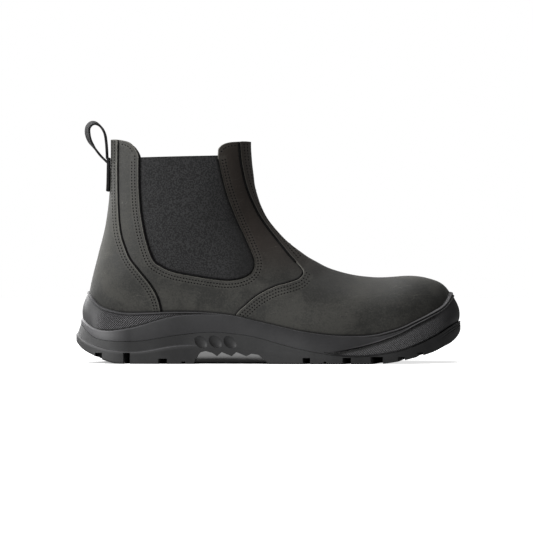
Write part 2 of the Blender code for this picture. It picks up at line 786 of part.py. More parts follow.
def make_midsole():
    """The midsole: a cup whose lip hugs the upper and whose side has a raised wave."""
    outline, outward = sole_outline()
    lips = lip_insets(outline, outward)
    core = [core_spot(point, out, 0.0) for point, out in zip(outline, outward)]
    rings = [[] for _ in range(9)]
    for point, out, lip in zip(outline, outward, lips):
        share = point.x / LENGTH
        row = row_along(SIDE, share)
        base = row.parting * CUP_HEIGHT
        height = row.lip * CUP_HEIGHT - base
        heel = 1 - smooth(*HEEL_PANEL_FADE, share)
        toe = smooth(*TOE_PANEL_FADE, share)
        levels = (
            (0.0, toe),
            (row.toe_wave - WAVE_STEP, toe),
            (row.toe_wave, 0.0),
            (mix(row.toe_wave, row.heel_wave, 0.5), 0.0),
            (row.heel_wave - WAVE_STEP, 0.0),
            (row.heel_wave, heel),
            (mix(row.heel_wave, PANEL_TOP, 0.5), heel),
            (BEAD, 0.0),
            (1.0, 0.0),
        )
        for ring, (level, recess) in zip(rings, levels):
            level = min(max(level, 0.0), 1.0)
            inset = mix(row.tuck * TUCK, lip, level**SIDE_BOW) + RECESS * recess
            spot = point - out * inset
            ring.append(Vector((spot.x, spot.y, base + height * level)))
    midsole = strip_loft("midsole", rings[::-1] + [core])
    for form in upper_forms(GAP):
        combine(midsole, form, "DIFFERENCE")
    return midsole


def make_outsole_blank():
    """The outsole before its tread is cut: flat under heel and ball, sprung up at either end."""
    outline, outward = sole_outline()
    rings = [[] for _ in range(5)]
    for point, out in zip(outline, outward):
        share = point.x / LENGTH
        row = row_along(SIDE, share)
        top = row.parting * CUP_HEIGHT - GAP
        ledge = LEDGE * (1 - smooth(*LEDGE_FADE, share))
        tuck = row.tuck * TUCK
        lug_inset = max(tuck - LEDGE, 0.0) * smooth(*HEEL_LUG_FADE, share)
        bottom_spot = point - out * (lug_inset + EDGE_BEVEL)
        bottom = tread_height(bottom_spot.x)
        lug_top = max(row.lug * top, mix(bottom, top, LEAST_LUG))
        levels = (
            (lug_inset + EDGE_BEVEL, bottom),
            (lug_inset, mix(bottom, lug_top, BEVEL_TOP)),
            (lug_inset, lug_top),
            (lug_inset + ledge, min(lug_top + 0.5 * LEDGE, mix(lug_top, top, 0.5))),
            (tuck, top),
        )
        for ring, (inset, height) in zip(rings, levels):
            spot = point - out * inset
            ring.append(Vector((spot.x, spot.y, height)))
    core = [core_spot(point, out, GAP) for point, out in zip(outline, outward)]
    return strip_loft("outsole", rings + [core])


def arch_outline():
    """The gap under the waist seen from the side, with teeth along its top."""
    start, end = ARCH_START * LENGTH, ARCH_END * LENGTH
    first = ARCH_FIRST_TOOTH * LENGTH
    tip = ARCH_HEIGHT - ARCH_TOOTH_DEPTH
    outline = [(start + spot.past, spot.up * ARCH_HEIGHT) for spot in ARCH_BACK]
    outline.append((first - ARCH_TOOTH_RUN, ARCH_FIRST_CREST * ARCH_HEIGHT))
    for k in range(ARCH_TEETH):
        x = first + k * ARCH_TOOTH_PITCH
        crest = (ARCH_CREST if k < ARCH_TEETH - 1 else ARCH_LAST_CREST) * ARCH_HEIGHT
        outline += [(x, tip), (x + ARCH_TOOTH_RUN, crest)]
    return outline + [(end + spot.past, spot.up * ARCH_HEIGHT) for spot in ARCH_FRONT]


def flute(number, side):
    """A shallow hollow in the outsole's side, above one tooth of the arch."""
    x = ARCH_FIRST_TOOTH * LENGTH + (number - 1) * ARCH_TOOTH_PITCH - FLUTE_SHIFT
    z = 0.5 * (ARCH_HEIGHT + parting_height(x))
    y = half_widths(x)[0 if side < 0 else 1]
    bm = bmesh.new()
    bmesh.ops.create_uvsphere(bm, u_segments=12, v_segments=8, radius=1.0)
    turn = Euler((0, math.radians(FLUTE_LEAN), 0)).to_matrix().to_4x4()
    size = Matrix.Diagonal((0.5 * FLUTE_LENGTH, FLUTE_DEPTH, FLUTE_WIDTH, 1.0))
    bmesh.ops.transform(bm, matrix=Matrix.Translation((x, y, z)) @ turn @ size, verts=bm.verts)
    return object_from("flute", bm)


def channel_cutter(channel, side):
    """A box that cuts one channel from the sole's edge inwards."""
    x = channel.along * LENGTH
    edge = half_widths(x)[0 if side < 0 else 1]
    reach = channel.outer_reach if side < 0 else channel.inner_reach
    length = abs(edge) * reach + CUTTER_REACH
    depth = channel.depth + CUTTER_DEPTH
    bm = bmesh.new()
    bmesh.ops.create_cube(bm, size=1.0)
    size = Matrix.Diagonal((channel.width, length, depth, 1.0))
    shift = Matrix.Translation((0, -side * 0.5 * length, 0))
    turn = Matrix.Rotation(side * math.radians(channel.slant), 4, "Z")
    middle = tread_height(x) + channel.depth - 0.5 * depth
    place = Matrix.Translation((x - CHANNEL_SHIFT, edge + side * CUTTER_REACH, middle))
    bmesh.ops.transform(bm, matrix=place @ turn @ shift @ size, verts=bm.verts)
    return object_from("channel", bm)


def centre_cutter(first, last):
    """A box that cuts the channel along the middle of heel or ball."""
    start, end = first * LENGTH, last * LENGTH
    bm = bmesh.new()
    bmesh.ops.create_cube(bm, size=1.0)
    size = Matrix.Diagonal((end - start, CENTRE_CHANNEL_WIDTH, 2 * CENTRE_CHANNEL_DEPTH, 1.0))
    bmesh.ops.transform(bm, matrix=Matrix.Translation(((start + end) / 2, 0, 0)) @ size,
                        verts=bm.verts)
    return object_from("centre_channel", bm)


def make_outsole():
    """The outsole with its arch, the flutes above it and the channels of its tread."""
    outsole = make_outsole_blank()
    combine(outsole, prism("arch", arch_outline(), -SOLE_WIDTH, SOLE_WIDTH), "DIFFERENCE")
    for side in (-1, 1):
        for number in range(ARCH_TEETH):
            combine(outsole, flute(number, side), "DIFFERENCE")
        for channel in CHANNELS:
            combine(outsole, channel_cutter(channel, side), "DIFFERENCE")
    for first, last in CENTRE_CHANNELS:
        combine(outsole, centre_cutter(first, last), "DIFFERENCE")
    return outsole


def back_of_upper(height):
    """X of the counter's outer face, midway across the heel, at a height."""
    rows = [section_ends(row_at(LAST, mix(HEEL_ROW, len(LAST) - 1, k / BACK_STEPS)), 0.0, 0.0)[0]
            for k in range(BACK_STEPS + 1)]
    for below, above in zip(rows, rows[1:]):
        if below.z <= height <= above.z:
            return mix(below.x, above.x, (height - below.z) / (above.z - below.z))
    return rows[-1].x


def make_pull_loop():
    """The pull loop: webbing folded into a tall ring whose joined tails lie on the heel's back."""
    line = [Vector(point) for point in seam(LOOP_LINE)]
    half = 0.5 * WEBBING_THICKNESS
    left, right = [], []
    for before, point, after in zip(line[:1] + line, line, line[1:] + line[-1:]):
        along = (after - before).normalized()
        left.append(tuple(point + Vector((-along.y, along.x)) * half))
        right.append(tuple(point - Vector((-along.y, along.x)) * half))
    half_width = 0.5 * WEBBING_WIDTH
    loop = prism("pull_loop", left + right[::-1], -half_width, half_width)
    heights = [mix(TAIL_TOP, TAIL_BOTTOM, k / TAIL_STEPS) for k in range(TAIL_STEPS + 1)]
    near = [(back_of_upper(z) - GAP, z) for z in heights]
    far = [(x - TAIL_THICKNESS, z) for x, z in reversed(near)]
    combine(loop, prism("tail", near + far, -half_width, half_width), "UNION")
    return loop


class Finish(NamedTuple):
    """How a piece looks."""

    colour: tuple
    roughness: float
    sheen: float = 0.0


LEATHER = Finish((0.055, 0.052, 0.047), 0.68, 0.1)
TREAD_RUBBER = Finish((0.040, 0.039, 0.042), 0.62)
FOAM = Finish((0.036, 0.035, 0.038), 0.58)
FELT = Finish((0.030, 0.030, 0.032), 0.90, 0.3)
ELASTIC = Finish((0.012, 0.012, 0.013), 0.85, 0.2)
WEBBING = Finish((0.050, 0.050, 0.052), 0.80, 0.3)
SOFT_EDGE = 35  # degrees up to which an edge is shaded smooth


def finish(obj, look):
    """Gives a piece its material and smooth shading across its soft edges."""
    material = bpy.data.materials.new(obj.name)
    material.use_nodes = True
    shader = material.node_tree.nodes["Principled BSDF"]
    shader.inputs["Base Color"].default_value = (*look.colour, 1.0)
    shader.inputs["Roughness"].default_value = look.roughness
    shader.inputs["Metallic"].default_value = 0.0
    shader.inputs["Sheen Weight"].default_value = look.sheen
    obj.data.materials.clear()
    obj.data.materials.append(material)
    obj.data.shade_smooth()
    obj.data.set_sharp_from_angle(angle=math.radians(SOFT_EDGE))


def stand_on_origin(pieces):
    """Moves the boot so that the origin is under the middle of its box."""
    corners = [piece.matrix_world @ vertex.co for piece in pieces for vertex in piece.data.vertices]
    low = Vector(min(corner[axis] for corner in corners) for axis in range(3))
    high = Vector(max(corner[axis] for corner in corners) for axis in range(3))
    shift = Matrix.Translation((-(low.x + high.x) / 2, -(low.y + high.y) / 2, -low.z))
    for piece in pieces:
        piece.data.transform(shift)


def main():
    for obj in list(bpy.data.objects):
        bpy.data.objects.remove(obj)
    upper = make_upper()
    outsole = make_outsole()
    midsole = make_midsole()
    insole = make_insole()
    gores = [make_gore("gore_outer", -1), make_gore("gore_inner", 1)]
    loop = make_pull_loop()
    stand_on_origin([upper, outsole, midsole, insole, loop] + gores)
    finish(upper, LEATHER)
    finish(outsole, TREAD_RUBBER)
    finish(midsole, FOAM)
    finish(insole, FELT)
    for gore in gores:
        finish(gore, ELASTIC)
    finish(loop, WEBBING)


main()
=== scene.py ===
"""A right side gore work boot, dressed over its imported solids.

The boot stands with its toe along +X and its outer side along -Y. Every panel lies on one last, the
sole's pieces share one outline, and both are read in the boot's own sizes from the heel's back.
"""

import logging
import math
from dataclasses import dataclass
from enum import Enum
from typing import Callable, NamedTuple, Sequence

import bmesh
import bpy
import numpy as np
from mathutils import Matrix, Vector, noise
from mathutils.bvhtree import BVHTree
from mathutils.kdtree import KDTree


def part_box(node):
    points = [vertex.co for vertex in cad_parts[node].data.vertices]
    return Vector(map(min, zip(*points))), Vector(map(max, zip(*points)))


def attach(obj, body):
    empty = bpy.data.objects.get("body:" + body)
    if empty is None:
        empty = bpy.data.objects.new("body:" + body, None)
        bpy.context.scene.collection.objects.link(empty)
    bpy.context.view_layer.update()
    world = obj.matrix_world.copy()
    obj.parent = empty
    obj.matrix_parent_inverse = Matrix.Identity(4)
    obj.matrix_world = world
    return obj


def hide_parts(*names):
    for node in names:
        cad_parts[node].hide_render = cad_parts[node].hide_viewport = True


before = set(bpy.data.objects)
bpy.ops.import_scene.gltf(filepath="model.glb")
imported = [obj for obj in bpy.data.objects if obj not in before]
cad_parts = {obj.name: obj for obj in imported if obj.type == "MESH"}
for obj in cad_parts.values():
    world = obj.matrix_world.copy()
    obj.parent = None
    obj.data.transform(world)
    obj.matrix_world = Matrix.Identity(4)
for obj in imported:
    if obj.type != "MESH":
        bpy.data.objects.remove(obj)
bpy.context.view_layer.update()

Array = np.ndarray
Socket = bpy.types.NodeSocket
Value = float | Socket
Colour = tuple[float, float, float]
LOG = logging.getLogger("boot")

# Where the heel's back and the boot's long axis lie in the frame
HEEL_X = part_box("outsole")[0].x
AXIS_Y = 0.5 * (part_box("pull_loop")[0].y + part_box("pull_loop")[1].y)
# Distances within which points count as one: on a sheet's seam, in a loft and on a cut
SEAM_MERGE = 1e-7
LOFT_MERGE = 1e-6
CUT_SNAP = 4e-5
RIM_SEGMENTS = 2
RIM_ANGLE = 50
LINE_POINTS = 400
HIDDEN_DEPTH = 0.012  # how far the upper reaches down behind the cup's lip


class Shade(Enum):
    """How a piece's faces are shaded."""

    FLAT = 0
    SMOOTH = 180
    CREASED = 35


class Side(Enum):
    """A side of the boot, as the sign of Y."""

    OUTER = -1
    INNER = 1


def eased(low: float, high: float, value: Array | float) -> Array | float:
    """0 at low and 1 at high, easing in and out between them."""
    share = np.clip((value - low) / (high - low), 0.0, 1.0)
    return share * share * (3 - 2 * share)


def mixed(first: Array | float, second: Array | float, share: Array | float) -> Array | float:
    """The value at a share of the way from first to second."""
    return first + (second - first) * share


def rounded_end(share: Array, power: float) -> Array:
    """Height of a rounded end, 1 where the share is 0 and 0 where it is 1."""
    return (1 - np.clip(share, 0.0, 1.0) ** power) ** (1 / power)


def curve_rows(table: Array, places: Array) -> Array:
    """Rows of a table at fractional places, on a smooth curve through its rows.

    Args:
        table: one row of numbers for each whole place.
        places: fractional places, from 0 to the last row's.

    Returns:
        One row for each place.
    """
    index = np.clip(places.astype(int), 0, len(table) - 2)
    before, first, second, after = (table[np.clip(index + k, 0, len(table) - 1)]
                                    for k in (-1, 0, 1, 2))
    t = (places - index)[:, None]
    bend = 2 * before - 5 * first + 4 * second - after + t * (3 * (first - second) + after - before)
    return first + 0.5 * t * (second - before + t * bend)


def level_rows(table: Array, shares: Array) -> Array:
    """Rows of a table at shares of its first column, level between rows without overshoot.

    Args:
        table: rows whose first column rises.
        shares: values of the first column.

    Returns:
        One row for each share.
    """
    along = table[:, 0]
    shares = np.clip(shares, along[0], along[-1])
    index = np.clip(np.searchsorted(along[1:], shares, side="left"), 0, len(table) - 2)
    slopes = np.diff(table, axis=0) / np.diff(along)[:, None]
    slope = slopes[index]
    lead = slopes[np.maximum(index - 1, 0)]
    trail = slopes[np.minimum(index + 1, len(slopes) - 1)]
    start = np.where(lead * slope > 0, 0.5 * (lead + slope), 0.0)
    end = np.where(slope * trail > 0, 0.5 * (slope + trail), 0.0)
    start = np.copysign(np.minimum(np.abs(start), 3 * np.abs(slope)), slope)
    end = np.copysign(np.minimum(np.abs(end), 3 * np.abs(slope)), slope)
    span = (along[index + 1] - along[index])[:, None]
    t = (shares - along[index])[:, None] / span
    step = table[index + 1] - table[index]
    return (table[index] + step * t * t * (3 - 2 * t)
            + span * (start * t * (1 - t) ** 2 - end * t * t * (1 - t)))


def resampled(points: Array, count: int) -> Array:
    """Points spaced evenly along a line, its ends among them.

    Args:
        points: the line's points.
        count: how many are wanted.

    Returns:
        The new points.
    """
    steps = np.linalg.norm(np.diff(points, axis=0), axis=1)
    length = np.concatenate([[0.0], np.cumsum(steps)])
    wanted = np.linspace(0.0, length[-1], count)
    return np.stack([np.interp(wanted, length, column) for column in points.T], axis=1)


class Section(NamedTuple):
    """A section of the last. Places are shares of its length, widths of half the ball or collar."""

    foot: float
    seat: float
    rise: float
    front: float
    instep: float
    climb: float
    low: float
    mid: float
    high: float
    shaft: float
    base: float
    crown: float
    sway: float


SECTIONS = (
    Section(0.983, 0.46, 0.00, 0.983, 0.00, 0.000, 1.00, 0.96, 0.76, 0.0, 0.30, 0.90, 0.020),
    Section(0.872, 0.19, 0.00, 0.872, 0.00, 0.000, 1.00, 0.96, 0.76, 0.0, 0.30, 0.90, 0.020),
    Section(0.781, 0.04, 0.00, 0.781, -0.05, 0.000, 1.00, 0.95, 0.72, 0.0, 0.30, 0.95, 0.015),
    Section(0.700, 0.00, 0.00, 0.700, 0.09, 0.000, 1.00, 0.93, 0.66, 0.0, 0.30, 1.00, 0.000),
    Section(0.618, 0.08, 0.00, 0.644, 0.33, 0.000, 0.93, 0.87, 0.61, 0.0, 0.32, 1.00, -0.020),
    Section(0.521, 0.31, 0.00, 0.596, 0.64, 0.000, 0.87, 0.83, 0.60, 0.2, 0.35, 1.05, -0.030),
    Section(0.407, 0.65, 0.00, 0.553, 1.00, 0.000, 0.84, 0.83, 0.65, 0.45, 0.38, 1.05, -0.030),
    Section(0.277, 0.92, 0.00, 0.521, 1.00, 0.126, 0.85, 0.90, 0.73, 0.7, 0.42, 1.05, -0.020),
    Section(0.146, 1.00, 0.00, 0.496, 1.00, 0.250, 0.87, 0.97, 0.82, 0.9, 0.48, 1.05, -0.010),
    Section(0.062, 1.00, 0.034, 0.480, 1.00, 0.366, 0.86, 1.01, 0.87, 1.0, 0.62, 1.05, -0.005),
    Section(0.0350, 1.00, 0.128, 0.472, 1.00, 0.451, 0.88, 1.02, 0.89, 1.0, 0.80, 1.02, 0.000),
    Section(0.0374, 1.00, 0.221, 0.465, 1.00, 0.549, 0.88, 1.01, 0.89, 1.0, 0.88, 1.00, 0.000),
    Section(0.0570, 1.00, 0.383, 0.461, 1.00, 0.659, 0.88, 0.99, 0.89, 1.0, 0.92, 0.98, 0.000),
    Section(0.0755, 1.00, 0.544, 0.4575, 1.00, 0.768, 0.88, 0.98, 0.89, 1.0, 0.93, 0.96, 0.000),
    Section(0.0862, 1.00, 0.705, 0.4556, 1.00, 0.866, 0.89, 0.98, 0.90, 1.0, 0.93, 0.95, 0.000),
    Section(0.0888, 1.00, 0.852, 0.4546, 1.00, 0.951, 0.90, 0.99, 0.91, 1.0, 0.93, 0.94, 0.000),
    Section(0.0898, 1.00, 1.060, 0.4546, 1.00, 1.110, 0.90, 1.00, 0.91, 1.0, 0.93, 0.94, 0.000),
)


@dataclass(frozen=True)
class Last:
    """The form that the upper is drawn over: a fan of slanted sections from toe to collar."""

    length: float = 0.3073
    collar_height: float = 0.178
    collar_width: float = 0.076
    ball_width: float = 0.098
    instep_height: float = 0.096
    toe_height: float = 0.0696
    heel_seat: float = 0.029
    ball_seat: float = 0.016
    tip_height: float = 0.038
    tip: float = 0.983
    plan_start: float = 0.7745
    plan_roundness: float = 2.0
    side_start: float = 0.872
    side_roundness: float = 2.5
    top_place: float = 16.0
    floor_rise: float = 0.1
    measured: int = 2000

    def surface(self, places: Array, angles: Array, outset: Array | float,
                drop: float = 0.0) -> Array:
        """Points of the last's surface, or of one that lies outset off it.

        Args:
            places: fractional rows of SECTIONS, 0 at the tip and 16 above the collar.
            angles: turns round a section, from its low end up the outer side.
            outset: how far off the last each point lies.
            drop: how far the floor lies below the last's.

        Returns:
            One point for each place and angle, measured from the heel's back.
        """
        row = Section(*curve_rows(np.array(SECTIONS), places).T)
        low_x, high_x = row.foot * self.length, row.front * self.length
        low_z = mixed(self.ball_seat, self.heel_seat, row.seat)
        low_z = low_z + row.rise * (self.collar_height - self.heel_seat)
        high_z = mixed(self.toe_height, self.instep_height, row.instep)
        high_z = high_z + row.climb * (self.collar_height - self.instep_height)
        reach = np.hypot(high_x - low_x, high_z - low_z)
        along_x, along_z = (high_x - low_x) / reach, (high_z - low_z) / reach
        under = 1 - eased(0.0, self.floor_rise, row.rise)
        plan = (row.foot - self.plan_start) / (self.tip - self.plan_start)
        side = (row.foot - self.side_start) / (self.tip - self.side_start)
        height = rounded_end(side, self.side_roundness)
        push = outset * np.maximum(side, 0.0)
        low_x = low_x - along_x * outset * (1 - under) + push
        low_z = low_z - along_z * outset * (1 - under) - drop * under
        high_x = high_x + along_x * outset + push
        high_z = high_z + along_z * outset
        low_z = mixed(self.tip_height, low_z, height)
        high_z = mixed(self.tip_height, high_z, height)
        half = 0.5 * mixed(self.ball_width, self.collar_width, row.shaft)
        quarter = math.sqrt(0.75)
        first = row.low / quarter ** mixed(row.base, row.crown, eased(0, 1, 0.25))
        last = row.high / quarter ** mixed(row.base, row.crown, eased(0, 1, 0.75))
        share = 0.5 * (1 - np.cos(angles))
        bow = 8 * (first + last - 2 * row.mid)
        lean = 2 * (last - first)
        width = half * (row.mid + lean * (share - 0.5) + bow * (share - 0.5) ** 2) + outset
        sine = np.sin(angles)
        roundness = mixed(row.base, row.crown, eased(0, 1, share))
        reach = np.maximum(np.abs(sine), 1e-9) ** roundness
        reach = reach * rounded_end(plan, self.plan_roundness)
        y = row.sway * self.ball_width - np.copysign(width * reach, sine)
        return np.stack([mixed(low_x, high_x, share), y, mixed(low_z, high_z, share)], axis=-1)

    def even_places(self, first: float, last: float, count: int) -> Array:
        """Places whose sections lie about evenly apart.

        Args:
            first: the first place.
            last: the last place.
            count: how many are wanted.

        Returns:
            The places.
        """
        dense = np.linspace(first, last, self.measured)
        steps = np.zeros(len(dense) - 1)
        for turn in (0.0, 0.5 * math.pi, math.pi):
            line = self.surface(dense, np.full_like(dense, turn), 0.0)
            steps += np.linalg.norm(np.diff(line, axis=0), axis=1)
        length = np.concatenate([[0.0], np.cumsum(steps)])
        return np.interp(np.linspace(0.0, length[-1], count), length, dense)


LAST = Last()


class Spot(NamedTuple):
    """A point of a seam seen from the side: shares of the last's length and collar height."""

    along: float
    up: float


COLLAR_BACK = (
    Spot(0.0898, 1.0013),
    Spot(0.1083, 0.9991),
    Spot(0.1291, 0.9919),
    Spot(0.1422, 0.9820),
    Spot(0.1526, 0.9649),
    Spot(0.1604, 0.9425),
)
GORE_BACK = (
    Spot(0.1643, 0.9231),
    Spot(0.1645, 0.7897),
    Spot(0.1684, 0.6863),
    Spot(0.1744, 0.6171),
    Spot(0.1843, 0.5411),
)
GORE_FOOT = (
    Spot(0.2012, 0.4616),
    Spot(0.2223, 0.4315),
    Spot(0.2536, 0.4076),
    Spot(0.3059, 0.3892),
    Spot(0.3757, 0.3712),
    Spot(0.4106, 0.3712),
    Spot(0.4384, 0.3834),
    Spot(0.4559, 0.4045),
    Spot(0.4629, 0.4315),
)
GORE_FRONT = (
    Spot(0.4613, 0.4706),
    Spot(0.4402, 0.5578),
    Spot(0.4171, 0.6436),
    Spot(0.3939, 0.7470),
    Spot(0.3798, 0.8373),
    Spot(0.3700, 0.9150),
)
COLLAR_FRONT = (
    Spot(0.3713, 0.9560),
    Spot(0.3817, 0.9739),
    Spot(0.3999, 0.9852),
    Spot(0.4259, 0.9897),
    Spot(0.4546, 0.9919),
    Spot(0.6000, 0.9919),
)
VAMP_FRONT = (
    Spot(0.4240, 1.1000),
    Spot(0.4285, 0.9416),
    Spot(0.4353, 0.8616),
    Spot(0.4470, 0.7811),
    Spot(0.4668, 0.7011),
    Spot(0.4900, 0.6324),
    Spot(0.5465, 0.5061),
    Spot(0.5740, 0.4520),
)
VAMP_WING = (
    Spot(0.5908, 0.4110),
    Spot(0.5790, 0.3790),
    Spot(0.5520, 0.3610),
    Spot(0.5199, 0.3456),
    Spot(0.4900, 0.3227),
    Spot(0.4634, 0.2939),
    Spot(0.4402, 0.2593),
    Spot(0.4171, 0.2193),
    Spot(0.4000, 0.1500),
)
COUNTER_EDGE = (
    Spot(0.1110, 1.1000),
    Spot(0.1080, 0.8840),
    Spot(0.1106, 0.6863),
    Spot(0.1166, 0.5829),
    Spot(0.1286, 0.5137),
    Spot(0.1422, 0.4616),
    Spot(0.1666, 0.4076),
    Spot(0.1945, 0.3474),
    Spot(0.2119, 0.2930),
    Spot(0.2205, 0.2324),
    Spot(0.2230, 0.1500),
)


def seam_line(spots: Sequence[Spot], steps: int = 8) -> Array:
    """A smooth line through the spots of a seam.

    Args:
        spots: the seam's spots.
        steps: how many points run from one spot to the next.

    Returns:
        Rows of X and Z.
    """
    places = np.arange((len(spots) - 1) * steps + 1) / steps
    line = curve_rows(np.array(spots), places)
    return line * np.array([LAST.length, LAST.collar_height])


class Region:
    """A closed outline in the side view, which tells how far inside it a point lies."""

    def __init__(self, outline: Array) -> None:
        """Keeps the outline's points and the ways between them."""
        self.start = outline
        self.way = np.roll(outline, -1, axis=0) - outline

    def depth(self, points: Array) -> Array:
        """How far inside the outline each point's side view lies, less than 0 outside.

        Args:
            points: rows of X, Y and Z.

        Returns:
            One depth for each point.
        """
        spots = points[:, [0, 2]]
        nearest = np.full(len(spots), 1e9)
        inside = np.zeros(len(spots), bool)
        for start, way in zip(self.start, self.way):
            off = spots - start
            t = np.clip(off @ way / max(way @ way, 1e-18), 0.0, 1.0)
            nearest = np.minimum(nearest, np.hypot(*(off - t[:, None] * way).T))
            if abs(way[1]) > 1e-12:
                share = off[:, 1] / way[1]
                inside ^= (share >= 0) & (share < 1) & (start[0] + share * way[0] > spots[:, 0])
        return np.where(inside, nearest, -nearest)


def closed_side(line: Array, corners: Sequence[tuple[float, float]]) -> Region:
    """The region between a line in the side view and the corners that close it."""
    return Region(np.concatenate([line, np.array(corners)]))


BELOW = -0.05
ABOVE = 1.3 * LAST.collar_height
BEHIND = -0.1 * LAST.length
AHEAD = 1.1 * LAST.length
VAMP_LINE = seam_line(VAMP_FRONT + VAMP_WING)
COUNTER_LINE = seam_line(COUNTER_EDGE)
GORE_LINE = seam_line(GORE_BACK + GORE_FOOT + GORE_FRONT)
COLLAR_LINE = np.concatenate([seam_line(COLLAR_BACK), GORE_LINE, seam_line(COLLAR_FRONT)])
VAMP = closed_side(VAMP_LINE, [(AHEAD, BELOW), (AHEAD, ABOVE)])
COUNTER = closed_side(COUNTER_LINE, [(BEHIND, BELOW), (BEHIND, ABOVE)])
OPENING = closed_side(COLLAR_LINE, [(COLLAR_LINE[-1, 0], ABOVE), (BEHIND, ABOVE),
                                    (BEHIND, COLLAR_LINE[0, 1])])


def sheet_over(points: Array, closed: bool, **marks: Array) -> bmesh.types.BMesh:
    """A grid moved onto rows of points.

    Args:
        points: rows by columns of X, Y and Z.
        closed: whether the last column joins the first.
        marks: rows by columns of values that the points keep, by name.

    Returns:
        The grid's mesh.
    """
    rows, columns = points.shape[:2]
    across = columns if closed else columns - 1
    bm = bmesh.new()
    bmesh.ops.create_grid(bm, x_segments=across, y_segments=rows - 1, size=0.5)
    layers = [(bm.verts.layers.float.new(name), values) for name, values in marks.items()]
    rim = []
    for vert in bm.verts:
        i = round((vert.co.x + 0.5) * across)
        j = round((vert.co.y + 0.5) * (rows - 1))
        if i in (0, across):
            rim.append(vert)
        vert.co = points[j, i % columns]
        for layer, values in layers:
            vert[layer] = values[j, i % columns]
    if closed:
        bmesh.ops.remove_doubles(bm, verts=rim, dist=SEAM_MERGE)
    return bm


def coordinates(bm: bmesh.types.BMesh) -> Array:
    """The mesh's points as rows of X, Y and Z."""
    return np.array([vert.co for vert in bm.verts])


def trim(bm: bmesh.types.BMesh, depth: Callable[[Array], Array]) -> None:
    """Cuts a sheet where a depth is 0 and drops what lies below it.

    Args:
        bm: the sheet's mesh.
        depth: gives a depth for each of the mesh's points.
    """
    layer = bm.verts.layers.float.new("depth")
    for vert, value in zip(bm.verts, depth(coordinates(bm))):
        vert[layer] = 0.0 if abs(value) < CUT_SNAP else value
    for edge in list(bm.edges):
        first, second = edge.verts
        if first[layer] * second[layer] < 0:
            share = first[layer] / (first[layer] - second[layer])
            made = bmesh.utils.edge_split(edge, first, share)[1]
            made[layer] = 0.0
    bmesh.ops.connect_verts(bm, verts=[vert for vert in bm.verts if vert[layer] == 0.0])
    dropped = [face for face in bm.faces if sum(vert[layer] for vert in face.verts) < 0]
    bmesh.ops.delete(bm, geom=dropped, context="FACES")
    bm.verts.layers.float.remove(layer)


def face_along(bm: bmesh.types.BMesh, measure: Callable[[bmesh.types.BMFace], float]) -> None:
    """Turns all faces round where a measure, summed over them, is below 0."""
    if sum(measure(face) for face in bm.faces) < 0:
        bmesh.ops.reverse_faces(bm, faces=bm.faces)


def faced_out(bm: bmesh.types.BMesh) -> None:
    """Turns an open sheet's faces away from its middle.

    Args:
        bm: the sheet's mesh.
    """
    bmesh.ops.recalc_face_normals(bm, faces=bm.faces)
    middle = Vector(coordinates(bm).mean(axis=0))
    face_along(bm, lambda face: face.normal.dot(face.calc_center_median() - middle)
               * face.calc_area())


def piece_from(name: str, bm: bmesh.types.BMesh, shade: Shade = Shade.SMOOTH) -> bpy.types.Object:
    """An object from a mesh measured from the heel's back, moved to its place in the frame.

    Args:
        name: the piece's name.
        bm: its mesh, which is used up.
        shade: how its faces are shaded.

    Returns:
        The new object, at the origin.
    """
    bmesh.ops.translate(bm, verts=bm.verts, vec=(HEEL_X, AXIS_Y, 0.0))
    mesh = bpy.data.meshes.new(name)
    bm.to_mesh(mesh)
    bm.free()
    if shade is not Shade.FLAT:
        mesh.shade_smooth()
    if shade is Shade.CREASED:
        mesh.set_sharp_from_angle(angle=math.radians(shade.value))
    piece = bpy.data.objects.new(name, mesh)
    bpy.context.scene.collection.objects.link(piece)
    return piece


def give_wall(piece: bpy.types.Object, thickness: float, edge: float = 0.0) -> None:
    """Gives a sheet its thickness inwards, and rounds its rim.

    Args:
        piece: the sheet.
        thickness: how thick it gets.
        edge: radius of the rim's rounding, 0 for none.
    """
    wall = piece.modifiers.new("wall", "SOLIDIFY")
    wall.thickness = thickness
    wall.offset = -1.0
    if edge:
        rim = piece.modifiers.new("rim", "BEVEL")
        rim.width = edge
        rim.segments = RIM_SEGMENTS
        rim.limit_method = "ANGLE"
        rim.angle_limit = math.radians(RIM_ANGLE)
        rim.use_clamp_overlap = True


def note_distance(piece: bpy.types.Object, name: str, distance: Callable[[Array], Array]) -> None:
    """Keeps a distance on each point of a piece, which its material reads by name.

    Args:
        piece: the piece.
        name: the distance's name.
        distance: gives a distance for each point, measured from the heel's back.
    """
    count = len(piece.data.vertices)
    points = np.empty(count * 3)
    piece.data.vertices.foreach_get("co", points)
    points = points.reshape(-1, 3) - np.array([HEEL_X, AXIS_Y, 0.0])
    attribute = piece.data.attributes.new(name, "FLOAT", "POINT")
    attribute.data.foreach_set("value", distance(points).astype(np.float32))


def dress(piece: bpy.types.Object, material: bpy.types.Material,
          nodes: Sequence[str] = ()) -> None:
    """Gives a piece its material and its body, and hides the solids that it stands for.

    Args:
        piece: the piece.
        material: its material.
        nodes: the solids that it stands for.
    """
    piece.data.materials.clear()
    piece.data.materials.append(material)
    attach(piece, "root")
    if nodes:
        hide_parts(*nodes)
    LOG.info("%s: %d faces", piece.name, len(piece.data.polygons))


